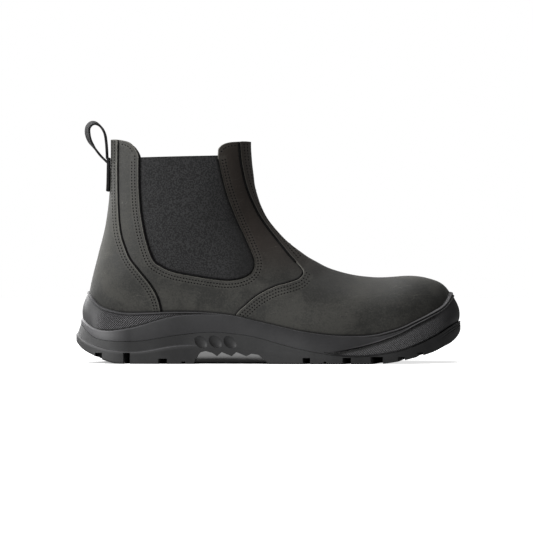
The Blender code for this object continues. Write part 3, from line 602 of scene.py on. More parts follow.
class Nodes:
    """Short calls for the nodes of one material or group."""

    def __init__(self, tree: bpy.types.NodeTree) -> None:
        """Works on this tree."""
        self.tree = tree

    def add(self, kind: str, **settings: object) -> bpy.types.Node:
        """A new node.

        Args:
            kind: the node's type.
            settings: its properties by name.

        Returns:
            The node.
        """
        node = self.tree.nodes.new(kind)
        for name, value in settings.items():
            setattr(node, name, value)
        return node

    def feed(self, socket: Socket, value: Value | Colour) -> None:
        """Links a socket to another one, or sets its value.

        Args:
            socket: the input.
            value: an output, a number or a colour.
        """
        if isinstance(value, bpy.types.NodeSocket):
            self.tree.links.new(value, socket)
        elif isinstance(value, tuple) and len(value) == 3 and socket.type == "RGBA":
            socket.default_value = (*value, 1.0)
        else:
            socket.default_value = value

    def math(self, operation: str, first: Value, second: Value = 0.0,
             third: Value = 0.0, clamp: bool = False) -> Socket:
        """The result of a Math node.

        Args:
            operation: the node's operation.
            first: its first value.
            second: its second value.
            third: its third value.
            clamp: whether the result stays within 0 and 1.

        Returns:
            The node's output.
        """
        node = self.add("ShaderNodeMath", operation=operation, use_clamp=clamp)
        for socket, value in zip(node.inputs, (first, second, third)):
            self.feed(socket, value)
        return node.outputs[0]

    def noise(self, vector: Socket, scale: Value, detail: float = 3.0, roughness: float = 0.5,
              distortion: float = 0.0) -> Socket:
        """A noise's value, about 0.5 on average.

        Args:
            vector: where it is read.
            scale: how fine it is.
            detail: how many octaves it has.
            roughness: how much the fine ones count.
            distortion: how far it is swirled.

        Returns:
            The value.
        """
        node = self.add("ShaderNodeTexNoise", noise_dimensions="3D")
        self.feed(node.inputs["Vector"], vector)
        self.feed(node.inputs["Scale"], scale)
        self.feed(node.inputs["Detail"], detail)
        self.feed(node.inputs["Roughness"], roughness)
        self.feed(node.inputs["Distortion"], distortion)
        return node.outputs[0]

    def cells(self, vector: Socket, scale: Value, feature: str = "F1") -> Socket:
        """Distance to the nearest cell's middle, or to its edge.

        Args:
            vector: where it is read.
            scale: how fine the cells are.
            feature: what the distance is to, as the node names it.

        Returns:
            The distance.
        """
        node = self.add("ShaderNodeTexVoronoi", feature=feature)
        self.feed(node.inputs["Vector"], vector)
        self.feed(node.inputs["Scale"], scale)
        return node.outputs["Distance"]

    def ranged(self, value: Value, low: Value, high: Value, to_low: Value = 0.0,
               to_high: Value = 1.0) -> Socket:
        """A value carried smoothly from one range to another, held at its ends.

        Args:
            value: the value.
            low: the first range's start.
            high: the first range's end.
            to_low: the second range's start.
            to_high: the second range's end.

        Returns:
            The carried value.
        """
        node = self.add("ShaderNodeMapRange", interpolation_type="SMOOTHSTEP")
        for name, given in zip(("Value", "From Min", "From Max", "To Min", "To Max"),
                               (value, low, high, to_low, to_high)):
            self.feed(node.inputs[name], given)
        return node.outputs[0]

    def blend(self, share: Value, first: Socket | Colour, second: Socket | Colour) -> Socket:
        """Two colours mixed.

        Args:
            share: how much of the second there is.
            first: the first colour.
            second: the second colour.

        Returns:
            The mixed colour.
        """
        node = self.add("ShaderNodeMix", data_type="RGBA")
        self.feed(node.inputs["Factor"], share)
        self.feed(node.inputs[6], first)
        self.feed(node.inputs[7], second)
        return node.outputs[2]

    def placed(self, vector: Socket, location: Sequence[float] = (0, 0, 0),
               rotation: Sequence[float] = (0, 0, 0), scale: Sequence[float] = (1, 1, 1)) -> Socket:
        """A vector moved, turned and scaled.

        Args:
            vector: the vector.
            location: how far it is moved.
            rotation: how far it is turned about each axis.
            scale: how much it is scaled along each axis.

        Returns:
            The new vector.
        """
        node = self.add("ShaderNodeMapping")
        self.feed(node.inputs["Vector"], vector)
        node.inputs["Location"].default_value = location
        node.inputs["Rotation"].default_value = rotation
        node.inputs["Scale"].default_value = scale
        return node.outputs[0]

    def axes(self, vector: Socket) -> tuple[Socket, Socket, Socket]:
        """A vector's parts.

        Args:
            vector: the vector.

        Returns:
            Its X, Y and Z.
        """
        node = self.add("ShaderNodeSeparateXYZ")
        self.feed(node.inputs[0], vector)
        return node.outputs[0], node.outputs[1], node.outputs[2]

    def place(self) -> Socket:
        """The piece's own coordinates, in metres."""
        return self.add("ShaderNodeTexCoord").outputs["Object"]

    def stored(self, name: str) -> Socket:
        """A distance kept on the piece's points."""
        return self.add("ShaderNodeAttribute", attribute_name=name).outputs["Fac"]

    def use(self, group: bpy.types.NodeTree, **inputs: Value | Colour) -> dict[str, Socket]:
        """Places a group with its own values.

        Args:
            group: the shader node group.
            inputs: its inputs by name, with _ for a space.

        Returns:
            The group's outputs by name.
        """
        node = self.add("ShaderNodeGroup", node_tree=group)
        for name, value in inputs.items():
            self.feed(node.inputs[name.replace("_", " ")], value)
        return {output.name: output for output in node.outputs}


def new_group(name: str, inputs: dict[str, str], outputs: dict[str, str]) -> tuple[Nodes, dict]:
    """Starts a shader node group.

    Args:
        name: the group's name.
        inputs: the kind of each input socket by name.
        outputs: the kind of each output socket by name.

    Returns:
        The group's nodes, and its inputs and outputs by name.
    """
    tree = bpy.data.node_groups.new(name, "ShaderNodeTree")
    for socket, kind in inputs.items():
        tree.interface.new_socket(socket, in_out="INPUT", socket_type="NodeSocket" + kind)
    for socket, kind in outputs.items():
        tree.interface.new_socket(socket, in_out="OUTPUT", socket_type="NodeSocket" + kind)
    nodes = Nodes(tree)
    given = nodes.add("NodeGroupInput").outputs
    wanted = nodes.add("NodeGroupOutput").inputs
    ends = {name: given[name] for name in inputs}
    ends.update({name: wanted[name] for name in outputs})
    return nodes, ends


# Scales of the clouds' small patches and of their speckle, as multiples of the broad ones'
SMALL_PATCHES = 7.0
SPECKLES = 28.0
SMALL_SHARE = 1.3
# Turn and stretch of each set of scratches
SCRATCH_SETS = ((0.5, 9.0), (-0.7, 7.0), (1.3, 11.0))
FUZZ_SCALE = 1400.0
MELANGE_SCALE = 900.0


@dataclass(frozen=True)
class Effects:
    """Shader node groups that the finishes share."""

    clouds: bpy.types.NodeTree
    grain: bpy.types.NodeTree
    scratches: bpy.types.NodeTree
    edge: bpy.types.NodeTree
    weave: bpy.types.NodeTree

    @classmethod
    def build(cls) -> "Effects":
        """Builds every group once."""
        return cls(cls.clouded(), cls.grained(), cls.scratched(), cls.edged(), cls.woven())

    @staticmethod
    def clouded() -> bpy.types.NodeTree:
        """Soft patches of a lighter and a darker colour, with a fine speckle.

        Returns:
            The group.
        """
        nodes, ends = new_group(
            "soft_clouds",
            {"Vector": "Vector", "Dark": "Color", "Light": "Color", "Scale": "Float",
             "Speckle": "Float"},
            {"Color": "Color", "Mask": "Float"})
        broad = nodes.noise(ends["Vector"], ends["Scale"], 3.0, 0.55, 0.4)
        scale = nodes.math("MULTIPLY", ends["Scale"], SMALL_PATCHES)
        small = nodes.noise(ends["Vector"], scale, 4.0, 0.75)
        scale = nodes.math("MULTIPLY", ends["Scale"], SPECKLES)
        fine = nodes.noise(ends["Vector"], scale, 3.0, 0.75)
        mask = nodes.ranged(broad, 0.33, 0.67)
        mask = nodes.math("MULTIPLY_ADD", nodes.math("SUBTRACT", small, 0.5), SMALL_SHARE, mask)
        speckle = nodes.math("MULTIPLY", nodes.math("SUBTRACT", fine, 0.5), ends["Speckle"])
        mask = nodes.math("ADD", mask, speckle, clamp=True)
        nodes.feed(ends["Mask"], mask)
        nodes.feed(ends["Color"], nodes.blend(mask, ends["Dark"], ends["Light"]))
        return nodes.tree

    @staticmethod
    def grained() -> bpy.types.NodeTree:
        """The height of a leather's nap and pores.

        Returns:
            The group.
        """
        nodes, ends = new_group("nubuck_grain", {"Vector": "Vector", "Scale": "Float"},
                                {"Height": "Float", "Mask": "Float"})
        pores = nodes.cells(ends["Vector"], ends["Scale"])
        pores = nodes.ranged(pores, 0.0, 0.45, 0.0, 1.0)
        nap = nodes.noise(ends["Vector"], nodes.math("MULTIPLY", ends["Scale"], 2.2), 3.0, 0.7)
        wave = nodes.noise(ends["Vector"], nodes.math("MULTIPLY", ends["Scale"], 0.16), 2.0, 0.5)
        height = nodes.math("MULTIPLY_ADD", nap, 0.9, nodes.math("MULTIPLY", pores, 0.35))
        height = nodes.math("MULTIPLY_ADD", wave, 2.2, height)
        nodes.feed(ends["Height"], height)
        nodes.feed(ends["Mask"], nap)
        return nodes.tree

    @staticmethod
    def scratched() -> bpy.types.NodeTree:
        """Short thin scratches that lean several ways.

        Returns:
            The group.
        """
        nodes, ends = new_group("fine_scratches", {"Vector": "Vector", "Scale": "Float"},
                                {"Mask": "Float"})
        total: Value = 0.0
        for turn, stretch in SCRATCH_SETS:
            turned = nodes.placed(ends["Vector"], (turn, 0, turn), (0, turn, 0), (1, 1, stretch))
            lines = nodes.cells(turned, ends["Scale"], "DISTANCE_TO_EDGE")
            line = nodes.ranged(lines, 0.0, 0.018, 1.0, 0.0)
            where = nodes.noise(turned, nodes.math("MULTIPLY", ends["Scale"], 0.6), 1.0, 0.5)
            total = nodes.math("MULTIPLY_ADD", line, nodes.ranged(where, 0.58, 0.72), total)
        nodes.feed(ends["Mask"], nodes.math("MINIMUM", total, 1.0))
        return nodes.tree

    @staticmethod
    def edged() -> bpy.types.NodeTree:
        """A painted highlight along a rolled cut edge, from the distance to the edge.

        Returns:
            The group.
        """
        nodes, ends = new_group("painted_edge_highlight", {"Distance": "Float", "Vector": "Vector",
                                             "Width": "Float"},
                                {"Rim": "Float"})
        rough = nodes.math("MULTIPLY", nodes.noise(ends["Vector"], 900.0, 2.0), ends["Width"])
        far = nodes.math("ADD", ends["Distance"], rough)
        rim = nodes.ranged(far, nodes.math("MULTIPLY", ends["Width"], 0.6),
                           nodes.math("MULTIPLY", ends["Width"], 1.6), 1.0, 0.0)
        nodes.feed(ends["Rim"], rim)
        return nodes.tree

    @staticmethod
    def woven() -> bpy.types.NodeTree:
        """A plain weave's height, its ribs along Z and its picks along X.

        Returns:
            The group.
        """
        nodes, ends = new_group("close_weave", {"Vector": "Vector", "Ribs": "Float",
                                                "Picks": "Float"},
                                {"Height": "Float", "Mask": "Float"})
        x, _, z = nodes.axes(ends["Vector"])
        ribs = nodes.math("SINE", nodes.math("MULTIPLY", x, ends["Ribs"]))
        half = nodes.math("MULTIPLY", nodes.math("SIGN", ribs), 0.5 * math.pi)
        picks = nodes.math("SINE", nodes.math("MULTIPLY_ADD", z, ends["Picks"], half))
        fuzz = nodes.noise(ends["Vector"], FUZZ_SCALE, 2.0, 0.7)
        height = nodes.math("MULTIPLY_ADD", nodes.math("ABSOLUTE", ribs), 0.6,
                            nodes.math("MULTIPLY", picks, 0.4))
        nodes.feed(ends["Height"], nodes.math("MULTIPLY_ADD", fuzz, 0.8, height))
        melange = nodes.noise(ends["Vector"], MELANGE_SCALE, 2.0)
        nodes.feed(ends["Mask"], nodes.ranged(melange, 0.4, 0.62))
        return nodes.tree


def new_material(name: str) -> tuple[bpy.types.Material, Nodes, bpy.types.Node]:
    """Starts a material.

    Args:
        name: the material's name.

    Returns:
        The material, its nodes and its Principled shader.
    """
    material = bpy.data.materials.new(name)
    material.use_nodes = True
    nodes = Nodes(material.node_tree)
    return material, nodes, material.node_tree.nodes["Principled BSDF"]


def bumped(nodes: Nodes, shader: bpy.types.Node, height: Socket, depth: float,
           strength: float) -> None:
    """Feeds a height to a shader's normal.

    Args:
        nodes: the material's nodes.
        shader: its shader.
        height: the height, as a share of the depth.
        depth: how deep the bumps are.
        strength: how much they count.
    """
    bump = nodes.add("ShaderNodeBump")
    nodes.feed(bump.inputs["Height"], height)
    bump.inputs["Distance"].default_value = depth
    bump.inputs["Strength"].default_value = strength
    nodes.feed(shader.inputs["Normal"], bump.outputs[0])


@dataclass(frozen=True)
class Nubuck:
    """Oiled nubuck: soft clouds, a fine nap, pale scratches, painted highlights beside the stitches
    and along the cut edges, and painted shadow beside the overlays' edges and above the sole's lip.
    """

    name: str
    dark: Colour
    light: Colour
    warm: Colour = (0.034, 0.024, 0.019)
    scratch: Colour = (0.14, 0.135, 0.12)
    # colour of the painted highlight beside the stitches and along the cut edges
    rim: Colour = (0.115, 0.111, 0.098)
    # colour of the painted shadow beside the overlays' edges and above the sole's lip
    groove: Colour = (0.006, 0.006, 0.006)
    cloud_scale: float = 26.0
    speckle: float = 2.4
    grain_scale: float = 1500.0
    scratch_scale: float = 42.0
    scratch_share: float = 0.35
    tab_along: tuple[float, float] = (-0.055, -0.030)
    tab_up: tuple[float, float] = (0.062, 0.100)
    warm_share: float = 0.70
    sewn_band: tuple[float, float] = (0.0006, 0.0022)
    sewn_share: float = 0.15
    edge_width: float = 0.0009
    edge_share: float = 0.9
    shadow_width: float = 0.0022
    shadow_share: float = 0.9
    lap_start: float = 0.0010
    rough: tuple[float, float] = (0.62, 0.80)
    specular: float = 0.30
    sheen: float = 0.04
    sheen_rough: float = 0.5
    depth: float = 0.00009

    def build(self, effects: Effects) -> bpy.types.Material:
        """The leather's material.

        Args:
            effects: the shared groups.

        Returns:
            The material.
        """
        material, nodes, shader = new_material(self.name)
        place = nodes.place()
        clouds = nodes.use(effects.clouds, Vector=place, Dark=self.dark, Light=self.light,
                           Scale=self.cloud_scale, Speckle=self.speckle)
        x, _, z = nodes.axes(place)
        tab = nodes.math("MULTIPLY", nodes.ranged(x, *self.tab_along),
                         nodes.ranged(z, *self.tab_up))
        colour = nodes.blend(nodes.math("MULTIPLY", tab, self.warm_share), clouds["Color"],
                             self.warm)
        scratches = nodes.use(effects.scratches, Vector=place, Scale=self.scratch_scale)["Mask"]
        # Painted highlight: the leather is lightened towards the rim colour beside the stitches and
        # along its cut edges, for light on the puckered and rolled leather there.
        sewn = nodes.ranged(nodes.stored("sewn"), *self.sewn_band, 1.0, 0.0)
        edge = nodes.use(effects.edge, Distance=nodes.stored("seam"), Vector=place,
                         Width=self.edge_width)["Rim"]
        for mask, share, tint in ((scratches, self.scratch_share, self.scratch),
                                  (sewn, self.sewn_share, self.rim),
                                  (edge, self.edge_share, self.rim)):
            colour = nodes.blend(nodes.math("MULTIPLY", mask, share), colour, tint)
        # Painted shadow: darker beside the overlays' edges on the quarters and just above the sole's
        # lip.
        for name, start in (("lapped", self.lap_start), ("clear", 0.0)):
            under = nodes.ranged(nodes.stored(name), start, self.shadow_width,
                                 self.shadow_share, 0.0)
            colour = nodes.blend(under, colour, self.groove)
        grain = nodes.use(effects.grain, Vector=place, Scale=self.grain_scale)
        nodes.feed(shader.inputs["Base Color"], colour)
        nodes.feed(shader.inputs["Roughness"],
                   nodes.ranged(clouds["Mask"], 0.0, 1.0, *self.rough))
        shader.inputs["Specular IOR Level"].default_value = self.specular
        shader.inputs["Sheen Weight"].default_value = self.sheen
        shader.inputs["Sheen Roughness"].default_value = self.sheen_rough
        bumped(nodes, shader, grain["Height"], self.depth, 0.8)
        return material


@dataclass(frozen=True)
class Moulded:
    """Moulded rubber or foam: matt, with fine pores and slight flow marks."""

    name: str
    dark: Colour
    light: Colour
    rough: tuple[float, float] = (0.46, 0.60)
    specular: float = 0.42
    # colour of the painted highlights on edges and crests
    worn: Colour = (0.150, 0.147, 0.153)
    # colour of the painted shade
    shade_colour: Colour = (0.002, 0.002, 0.002)
    cloud_scale: float = 34.0
    speckle: float = 1.2
    grain_scale: float = 1900.0
    depth: float = 0.00003

    def build(self, effects: Effects) -> bpy.types.Material:
        """The moulded material.

        Args:
            effects: the shared groups.

        Returns:
            The material.
        """
        material, nodes, shader = new_material(self.name)
        place = nodes.place()
        clouds = nodes.use(effects.clouds, Vector=place, Dark=self.dark, Light=self.light,
                           Scale=self.cloud_scale, Speckle=self.speckle)
        grain = nodes.use(effects.grain, Vector=place, Scale=self.grain_scale)
        # Painted highlights, kept on the points, lighten the colour.
        colour = nodes.blend(nodes.stored("worn"), clouds["Color"], self.worn)
        # Painted shade, kept on the points, darkens the colour.
        nodes.feed(shader.inputs["Base Color"],
                   nodes.blend(nodes.stored("deep"), colour, self.shade_colour))
        nodes.feed(shader.inputs["Roughness"],
                   nodes.ranged(grain["Mask"], 0.3, 0.7, *self.rough))
        shader.inputs["Specular IOR Level"].default_value = self.specular
        bumped(nodes, shader, grain["Height"], self.depth, 0.6)
        return material


@dataclass(frozen=True)
class Woven:
    """A woven band or cloth: ribs, picks and a light speckle."""

    name: str
    dark: Colour
    light: Colour
    ribs: float
    picks: float
    depth: float = 0.0002
    rough: float = 0.85
    sheen: float = 0.15
    specular: float = 0.25
    # colour of the painted shade
    shade_colour: Colour = (0.004, 0.004, 0.004)

    def build(self, effects: Effects) -> bpy.types.Material:
        """The cloth's material.

        Args:
            effects: the shared groups.

        Returns:
            The material.
        """
        material, nodes, shader = new_material(self.name)
        place = nodes.place()
        weave = nodes.use(effects.weave, Vector=place, Ribs=math.tau / self.ribs,
                          Picks=math.tau / self.picks)
        colour = nodes.blend(weave["Mask"], self.dark, self.light)
        # Painted shade, kept on the gores' points, darkens the colour.
        nodes.feed(shader.inputs["Base Color"],
                   nodes.blend(nodes.stored("deep"), colour, self.shade_colour))
        shader.inputs["Roughness"].default_value = self.rough
        shader.inputs["Specular IOR Level"].default_value = self.specular
        shader.inputs["Sheen Weight"].default_value = self.sheen
        bumped(nodes, shader, weave["Height"], self.depth, 0.8)
        return material


@dataclass(frozen=True)
class Plain:
    """A small even finish, such as thread or the dark beads in the seams, with a fine speckle."""

    name: str
    dark: Colour
    light: Colour
    rough: float = 0.6
    specular: float = 0.5
    cloud_scale: float = 160.0
    speckle: float = 1.0

    def build(self, effects: Effects) -> bpy.types.Material:
        """The finish's material.

        Args:
            effects: the shared groups.

        Returns:
            The material.
        """
        material, nodes, shader = new_material(self.name)
        clouds = nodes.use(effects.clouds, Vector=nodes.place(), Dark=self.dark, Light=self.light,
                           Scale=self.cloud_scale, Speckle=self.speckle)
        nodes.feed(shader.inputs["Base Color"], clouds["Color"])
        shader.inputs["Roughness"].default_value = self.rough
        shader.inputs["Specular IOR Level"].default_value = self.specular
        return material


RECIPES: dict[str, Nubuck | Moulded | Woven | Plain] = {
    "leather": Nubuck("oiled_nubuck", (0.021, 0.021, 0.019), (0.049, 0.048, 0.043)),
    "elastic": Woven("gore_elastic", (0.012, 0.012, 0.0125), (0.033, 0.033, 0.034), 0.0011,
                     0.0009),
    "midsole": Moulded("moulded_foam", (0.017, 0.017, 0.018), (0.024, 0.0235, 0.025)),
    "outsole": Moulded("tread_rubber", (0.014, 0.014, 0.0145), (0.021, 0.021, 0.0215),
                       (0.5, 0.66)),
    "webbing": Woven("loop_webbing", (0.007, 0.007, 0.007), (0.020, 0.020, 0.021), 0.0016,
                     0.0016, 0.0003, sheen=0.0),
    "lining": Woven("lining_cloth", (0.035, 0.035, 0.036), (0.060, 0.060, 0.061), 0.0012,
                    0.0012),
    "felt": Plain("footbed_felt", (0.030, 0.030, 0.032), (0.055, 0.055, 0.058), 0.95),
    "thread": Plain("black_thread", (0.003, 0.003, 0.003), (0.007, 0.007, 0.007), 0.7, 0.15),
    # a dark finish for the beads along the seams
    "seam_dark": Plain("dark_seam_finish", (0.003, 0.003, 0.003), (0.006, 0.006, 0.006), 0.8, 0.1),
}


@dataclass(frozen=True)
class Finishes:
    """Every material of the boot."""

    leather: bpy.types.Material
    elastic: bpy.types.Material
    midsole: bpy.types.Material
    outsole: bpy.types.Material
    webbing: bpy.types.Material
    lining: bpy.types.Material
    felt: bpy.types.Material
    thread: bpy.types.Material
    seam_dark: bpy.types.Material

    @classmethod
    def build(cls) -> "Finishes":
        """Builds the shared effects and then each material."""
        effects = Effects.build()
        return cls(**{name: recipe.build(effects) for name, recipe in RECIPES.items()})


class Crease(NamedTuple):
    """A soft trough in the leather, or a ridge where its depth is below 0, between two spots."""

    start: Spot
    end: Spot
    width: float
    depth: float


CREASES = (
    Crease(Spot(0.925, 0.46), Spot(0.905, 0.30), 0.011, 0.0006),
    Crease(Spot(0.990, 0.47), Spot(0.975, 0.36), 0.012, -0.0004),
    Crease(Spot(0.700, 0.60), Spot(0.640, 0.40), 0.007, 0.0005),
    Crease(Spot(0.640, 0.62), Spot(0.600, 0.46), 0.006, 0.0004),
    Crease(Spot(0.300, 0.33), Spot(0.400, 0.31), 0.006, 0.0004),
)


def above_sole(points: Array) -> Array:
    """How far each point lies above what the sole's cup hides."""
    lips = level_rows(np.array(SOLE_SIDE), points[:, 0] / LAST.length)[:, 1]
    return points[:, 2] - (lips * SOLE.cup_height - HIDDEN_DEPTH)


@dataclass(frozen=True)
class Upper:
    """The leather upper: quarters, and a vamp and a counter lapped over them."""

    last: Last = LAST
    overlay: float = 0.0009
    wall: float = 0.0021
    lap: float = 0.010
    outer_skin: float = 0.0008
    base_skin: float = 0.0014
    lining_skin: float = 0.0006
    rim: float = 0.00025
    sections: int = 330
    around: int = 220
    swells: tuple[tuple[float, float], ...] = ((34.0, 0.00035), (95.0, 0.00012))

    def relief(self, points: Array) -> Array:
        """How far the leather swells, or sinks where it is less than 0.

        Args:
            points: points of a smooth form.

        Returns:
            One height for each point.
        """
        lift = np.zeros(len(points))
        for crease in CREASES:
            start = np.array(crease.start) * (self.last.length, self.last.collar_height)
            way = np.array(crease.end) * (self.last.length, self.last.collar_height) - start
            off = points[:, [0, 2]] - start
            t = np.clip(off @ way / (way @ way), 0.0, 1.0)
            gap = np.hypot(*(off - t[:, None] * way).T)
            lift -= crease.depth * np.exp(-(gap / crease.width) ** 2)
        for scale, height in self.swells:
            lift += height * np.array([noise.noise(Vector(p) * scale) for p in points])
        return lift

    def form(self, outset: float, first: float = 0.02, sections: int = 0) -> bmesh.types.BMesh:
        """The last's surface as an open tube, with the leather's relief.

        Args:
            outset: how far off the last it lies.
            first: the place of its first section.
            sections: how many it has, or 0 for the usual number.

        Returns:
            The tube's mesh.
        """
        places = self.last.even_places(first, self.last.top_place, sections or self.sections)
        angles = np.arange(self.around) * math.tau / self.around
        grid = [axis.ravel() for axis in np.meshgrid(places, angles, indexing="ij")]
        smooth = self.last.surface(grid[0], grid[1], outset)
        points = self.last.surface(grid[0], grid[1], outset + self.relief(smooth))
        return sheet_over(points.reshape(len(places), self.around, 3), True)

    def panel(self, name: str, outset: float, thickness: float,
              *depths: Callable[[Array], Array]) -> bpy.types.Object:
        """A panel of the upper, cut where each depth is 0.

        Args:
            name: the panel's name.
            outset: how far its outer face lies off the last.
            thickness: its thickness.
            depths: give how far inside each of its edges a point lies.

        Returns:
            The panel's object.
        """
        bm = self.form(outset)
        trim(bm, above_sole)
        for depth in depths:
            trim(bm, depth)
        faced_out(bm)
        piece = piece_from(name, bm)
        note_distance(piece, "seam", lambda points: np.abs(
            np.min([depth(points) for depth in depths], axis=0)))
        note_distance(piece, "sewn", sewn_distance)
        # The distances above what the cup hides and from the overlays' edges set the leather's painted
        # shadow.
        note_distance(piece, "clear", lambda points: np.maximum(
            above_sole(points) - HIDDEN_DEPTH, 0.0))
        lapped = name == "quarters"
        note_distance(piece, "lapped", lambda points: np.minimum(
            np.abs(VAMP.depth(points)), np.abs(COUNTER.depth(points))) + (0.0 if lapped else 1.0))
        give_wall(piece, thickness, self.rim)
        return piece

    def build(self, finishes: Finishes) -> None:
        """Builds and dresses the leather panels and the lining.

        Args:
            finishes: the boot's materials.
        """
        def outside(points: Array) -> Array:
            """How far each point lies outside the collar and gore openings."""
            return -OPENING.depth(points)

        def behind_vamp(points: Array) -> Array:
            """How far each point lies behind the vamp's lap."""
            return self.lap - VAMP.depth(points)

        vamp = self.panel("vamp", 0.0, self.outer_skin, VAMP.depth, outside)
        counter = self.panel("counter", 0.0, self.outer_skin, COUNTER.depth, outside)
        quarters = self.panel("quarters", -self.overlay, self.base_skin, behind_vamp, outside)
        lining = self.panel("lining", -self.overlay - self.wall + self.lining_skin,
                            self.lining_skin, outside)
        for piece in (vamp, counter, quarters):
            dress(piece, finishes.leather, ["upper"])
        dress(lining, finishes.lining)


@dataclass(frozen=True)
class Gores:
    """The elastic gores, one in each side."""

    last: Last = LAST
    depth: float = 0.0017
    thickness: float = 0.0010
    tuck: float = 0.0020
    top_back: float = 0.1634
    top_front: float = 0.1656
    sections: int = 200
    first: float = 6.0
    off_middle: float = 0.001
    ends: tuple[float, float] = (0.13, 0.49)
    dark_front: tuple[float, float] = (0.375, 0.455)
    front_share: float = 0.70
    edge_share: float = 0.8
    seam_width: float = 0.0025
    hem: tuple[float, float] = (0.0004, 0.0010)

    def below_top(self, points: Array) -> Array:
        """How far each point lies below the elastic's top edge.

        Args:
            points: rows of X, Y and Z.

        Returns:
            One distance for each point.
        """
        low, high = GORE_LINE[:, 0].min(), GORE_LINE[:, 0].max()
        top = mixed(self.top_back, self.top_front, (points[:, 0] - low) / (high - low))
        return top - points[:, 2]

    def darkness(self, points: Array) -> Array:
        """How much painted shade the elastic gets: towards its front and beside its seam, and how much
        darker it is along its hem.

        Args:
            points: rows of X, Y and Z.

        Returns:
            One share for each point.
        """
        front = self.front_share * eased(*self.dark_front, points[:, 0] / self.last.length)
        seam = eased(0.0, self.seam_width, np.abs(OPENING.depth(points)))
        seam = self.edge_share * (1 - seam)
        hem = self.edge_share * (1 - eased(*self.hem, self.below_top(points)))
        return np.maximum(np.maximum(front, seam), hem)

    def build(self, finishes: Finishes) -> None:
        """Builds and dresses both gores.

        Args:
            finishes: the boot's materials.
        """
        for side, node in ((Side.OUTER, "gore_outer"), (Side.INNER, "gore_inner")):
            bm = Upper(sections=self.sections).form(-self.depth, self.first)
            trim(bm, lambda points: self.tuck + OPENING.depth(points))
            trim(bm, self.below_top)
            trim(bm, lambda points, sign=side.value: sign * points[:, 1] - self.off_middle)
            trim(bm, lambda points: points[:, 0] - self.ends[0] * self.last.length)
            trim(bm, lambda points: self.ends[1] * self.last.length - points[:, 0])
            faced_out(bm)
            middle = coordinates(bm).mean(axis=0)[1]
            bm.normal_update()
            face_along(bm, lambda face, way=middle: face.normal.y * way)
            gore = piece_from("elastic_" + node.split("_")[1], bm)
            # painted shade towards the front and beside the seam, and darker along the hem
            note_distance(gore, "deep", self.darkness)
            give_wall(gore, self.thickness, 0.0002)
            dress(gore, finishes.elastic, [node])


class SoleSide(NamedTuple):
    """The sole's side at a share of its length. Heights are shares of the cup's height."""

    along: float
    lip: float
    parting: float
    heel_wave: float
    toe_wave: float
    lug: float
    tuck: float


SOLE_SIDE = (
    SoleSide(0.000, 1.000, 0.554, 0.14, 0.04, 0.65, 1.00),
    SoleSide(0.020, 0.913, 0.453, 0.19, 0.04, 0.69, 0.90),
    SoleSide(0.042, 0.816, 0.373, 0.25, 0.04, 0.70, 0.72),
    SoleSide(0.088, 0.738, 0.319, 0.32, 0.04, 0.60, 0.51),
    SoleSide(0.146, 0.703, 0.312, 0.47, 0.04, 0.52, 0.38),
    SoleSide(0.267, 0.719, 0.400, 0.82, 0.04, 0.63, 0.30),
    SoleSide(0.355, 0.703, 0.441, 0.90, 0.04, 0.55, 0.20),
    SoleSide(0.416, 0.661, 0.415, 0.92, 0.04, 0.50, 0.15),
    SoleSide(0.460, 0.605, 0.380, 0.92, 0.04, 0.50, 0.12),
    SoleSide(0.520, 0.527, 0.293, 0.92, 0.04, 0.50, 0.10),
    SoleSide(0.580, 0.455, 0.209, 0.92, 0.05, 0.50, 0.10),
    SoleSide(0.668, 0.395, 0.125, 0.93, 0.18, 0.50, 0.10),
    SoleSide(0.728, 0.389, 0.105, 0.93, 0.44, 0.50, 0.10),
    SoleSide(0.772, 0.406, 0.122, 0.94, 0.60, 0.50, 0.10),
    SoleSide(0.804, 0.445, 0.148, 0.95, 0.68, 0.55, 0.10),
    SoleSide(0.842, 0.503, 0.190, 0.96, 0.76, 0.60, 0.08),
    SoleSide(0.882, 0.595, 0.268, 0.96, 0.82, 0.65, 0.05),
    SoleSide(0.934, 0.717, 0.400, 0.96, 0.84, 0.72, 0.02),
    SoleSide(0.973, 0.832, 0.523, 0.96, 0.84, 0.78, 0.00),
    SoleSide(1.000, 0.990, 0.589, 0.96, 0.84, 0.85, 0.00),
)
# Share of the length, then the outer and the inner half width as shares of half the sole's width
SOLE_PLAN = (
    (0.146, 0.676, 0.667),
    (0.228, 0.703, 0.676),
    (0.325, 0.712, 0.630),
    (0.423, 0.749, 0.584),
    (0.521, 0.840, 0.648),
    (0.618, 0.950, 0.840),
    (0.700, 0.995, 0.977),
    (0.7745, 0.955, 1.010),
)
# Share of the length, then the tread's height as a share of the cup's height
TREAD = (
    (0.000, 0.316),
    (0.020, 0.200),
    (0.046, 0.122),
    (0.078, 0.045),
    (0.117, 0.000),
    (0.765, 0.000),
    (0.817, 0.024),
    (0.853, 0.061),
    (0.898, 0.122),
    (0.924, 0.167),
    (0.949, 0.233),
    (0.974, 0.305),
    (0.991, 0.401),
    (1.000, 0.502),
)


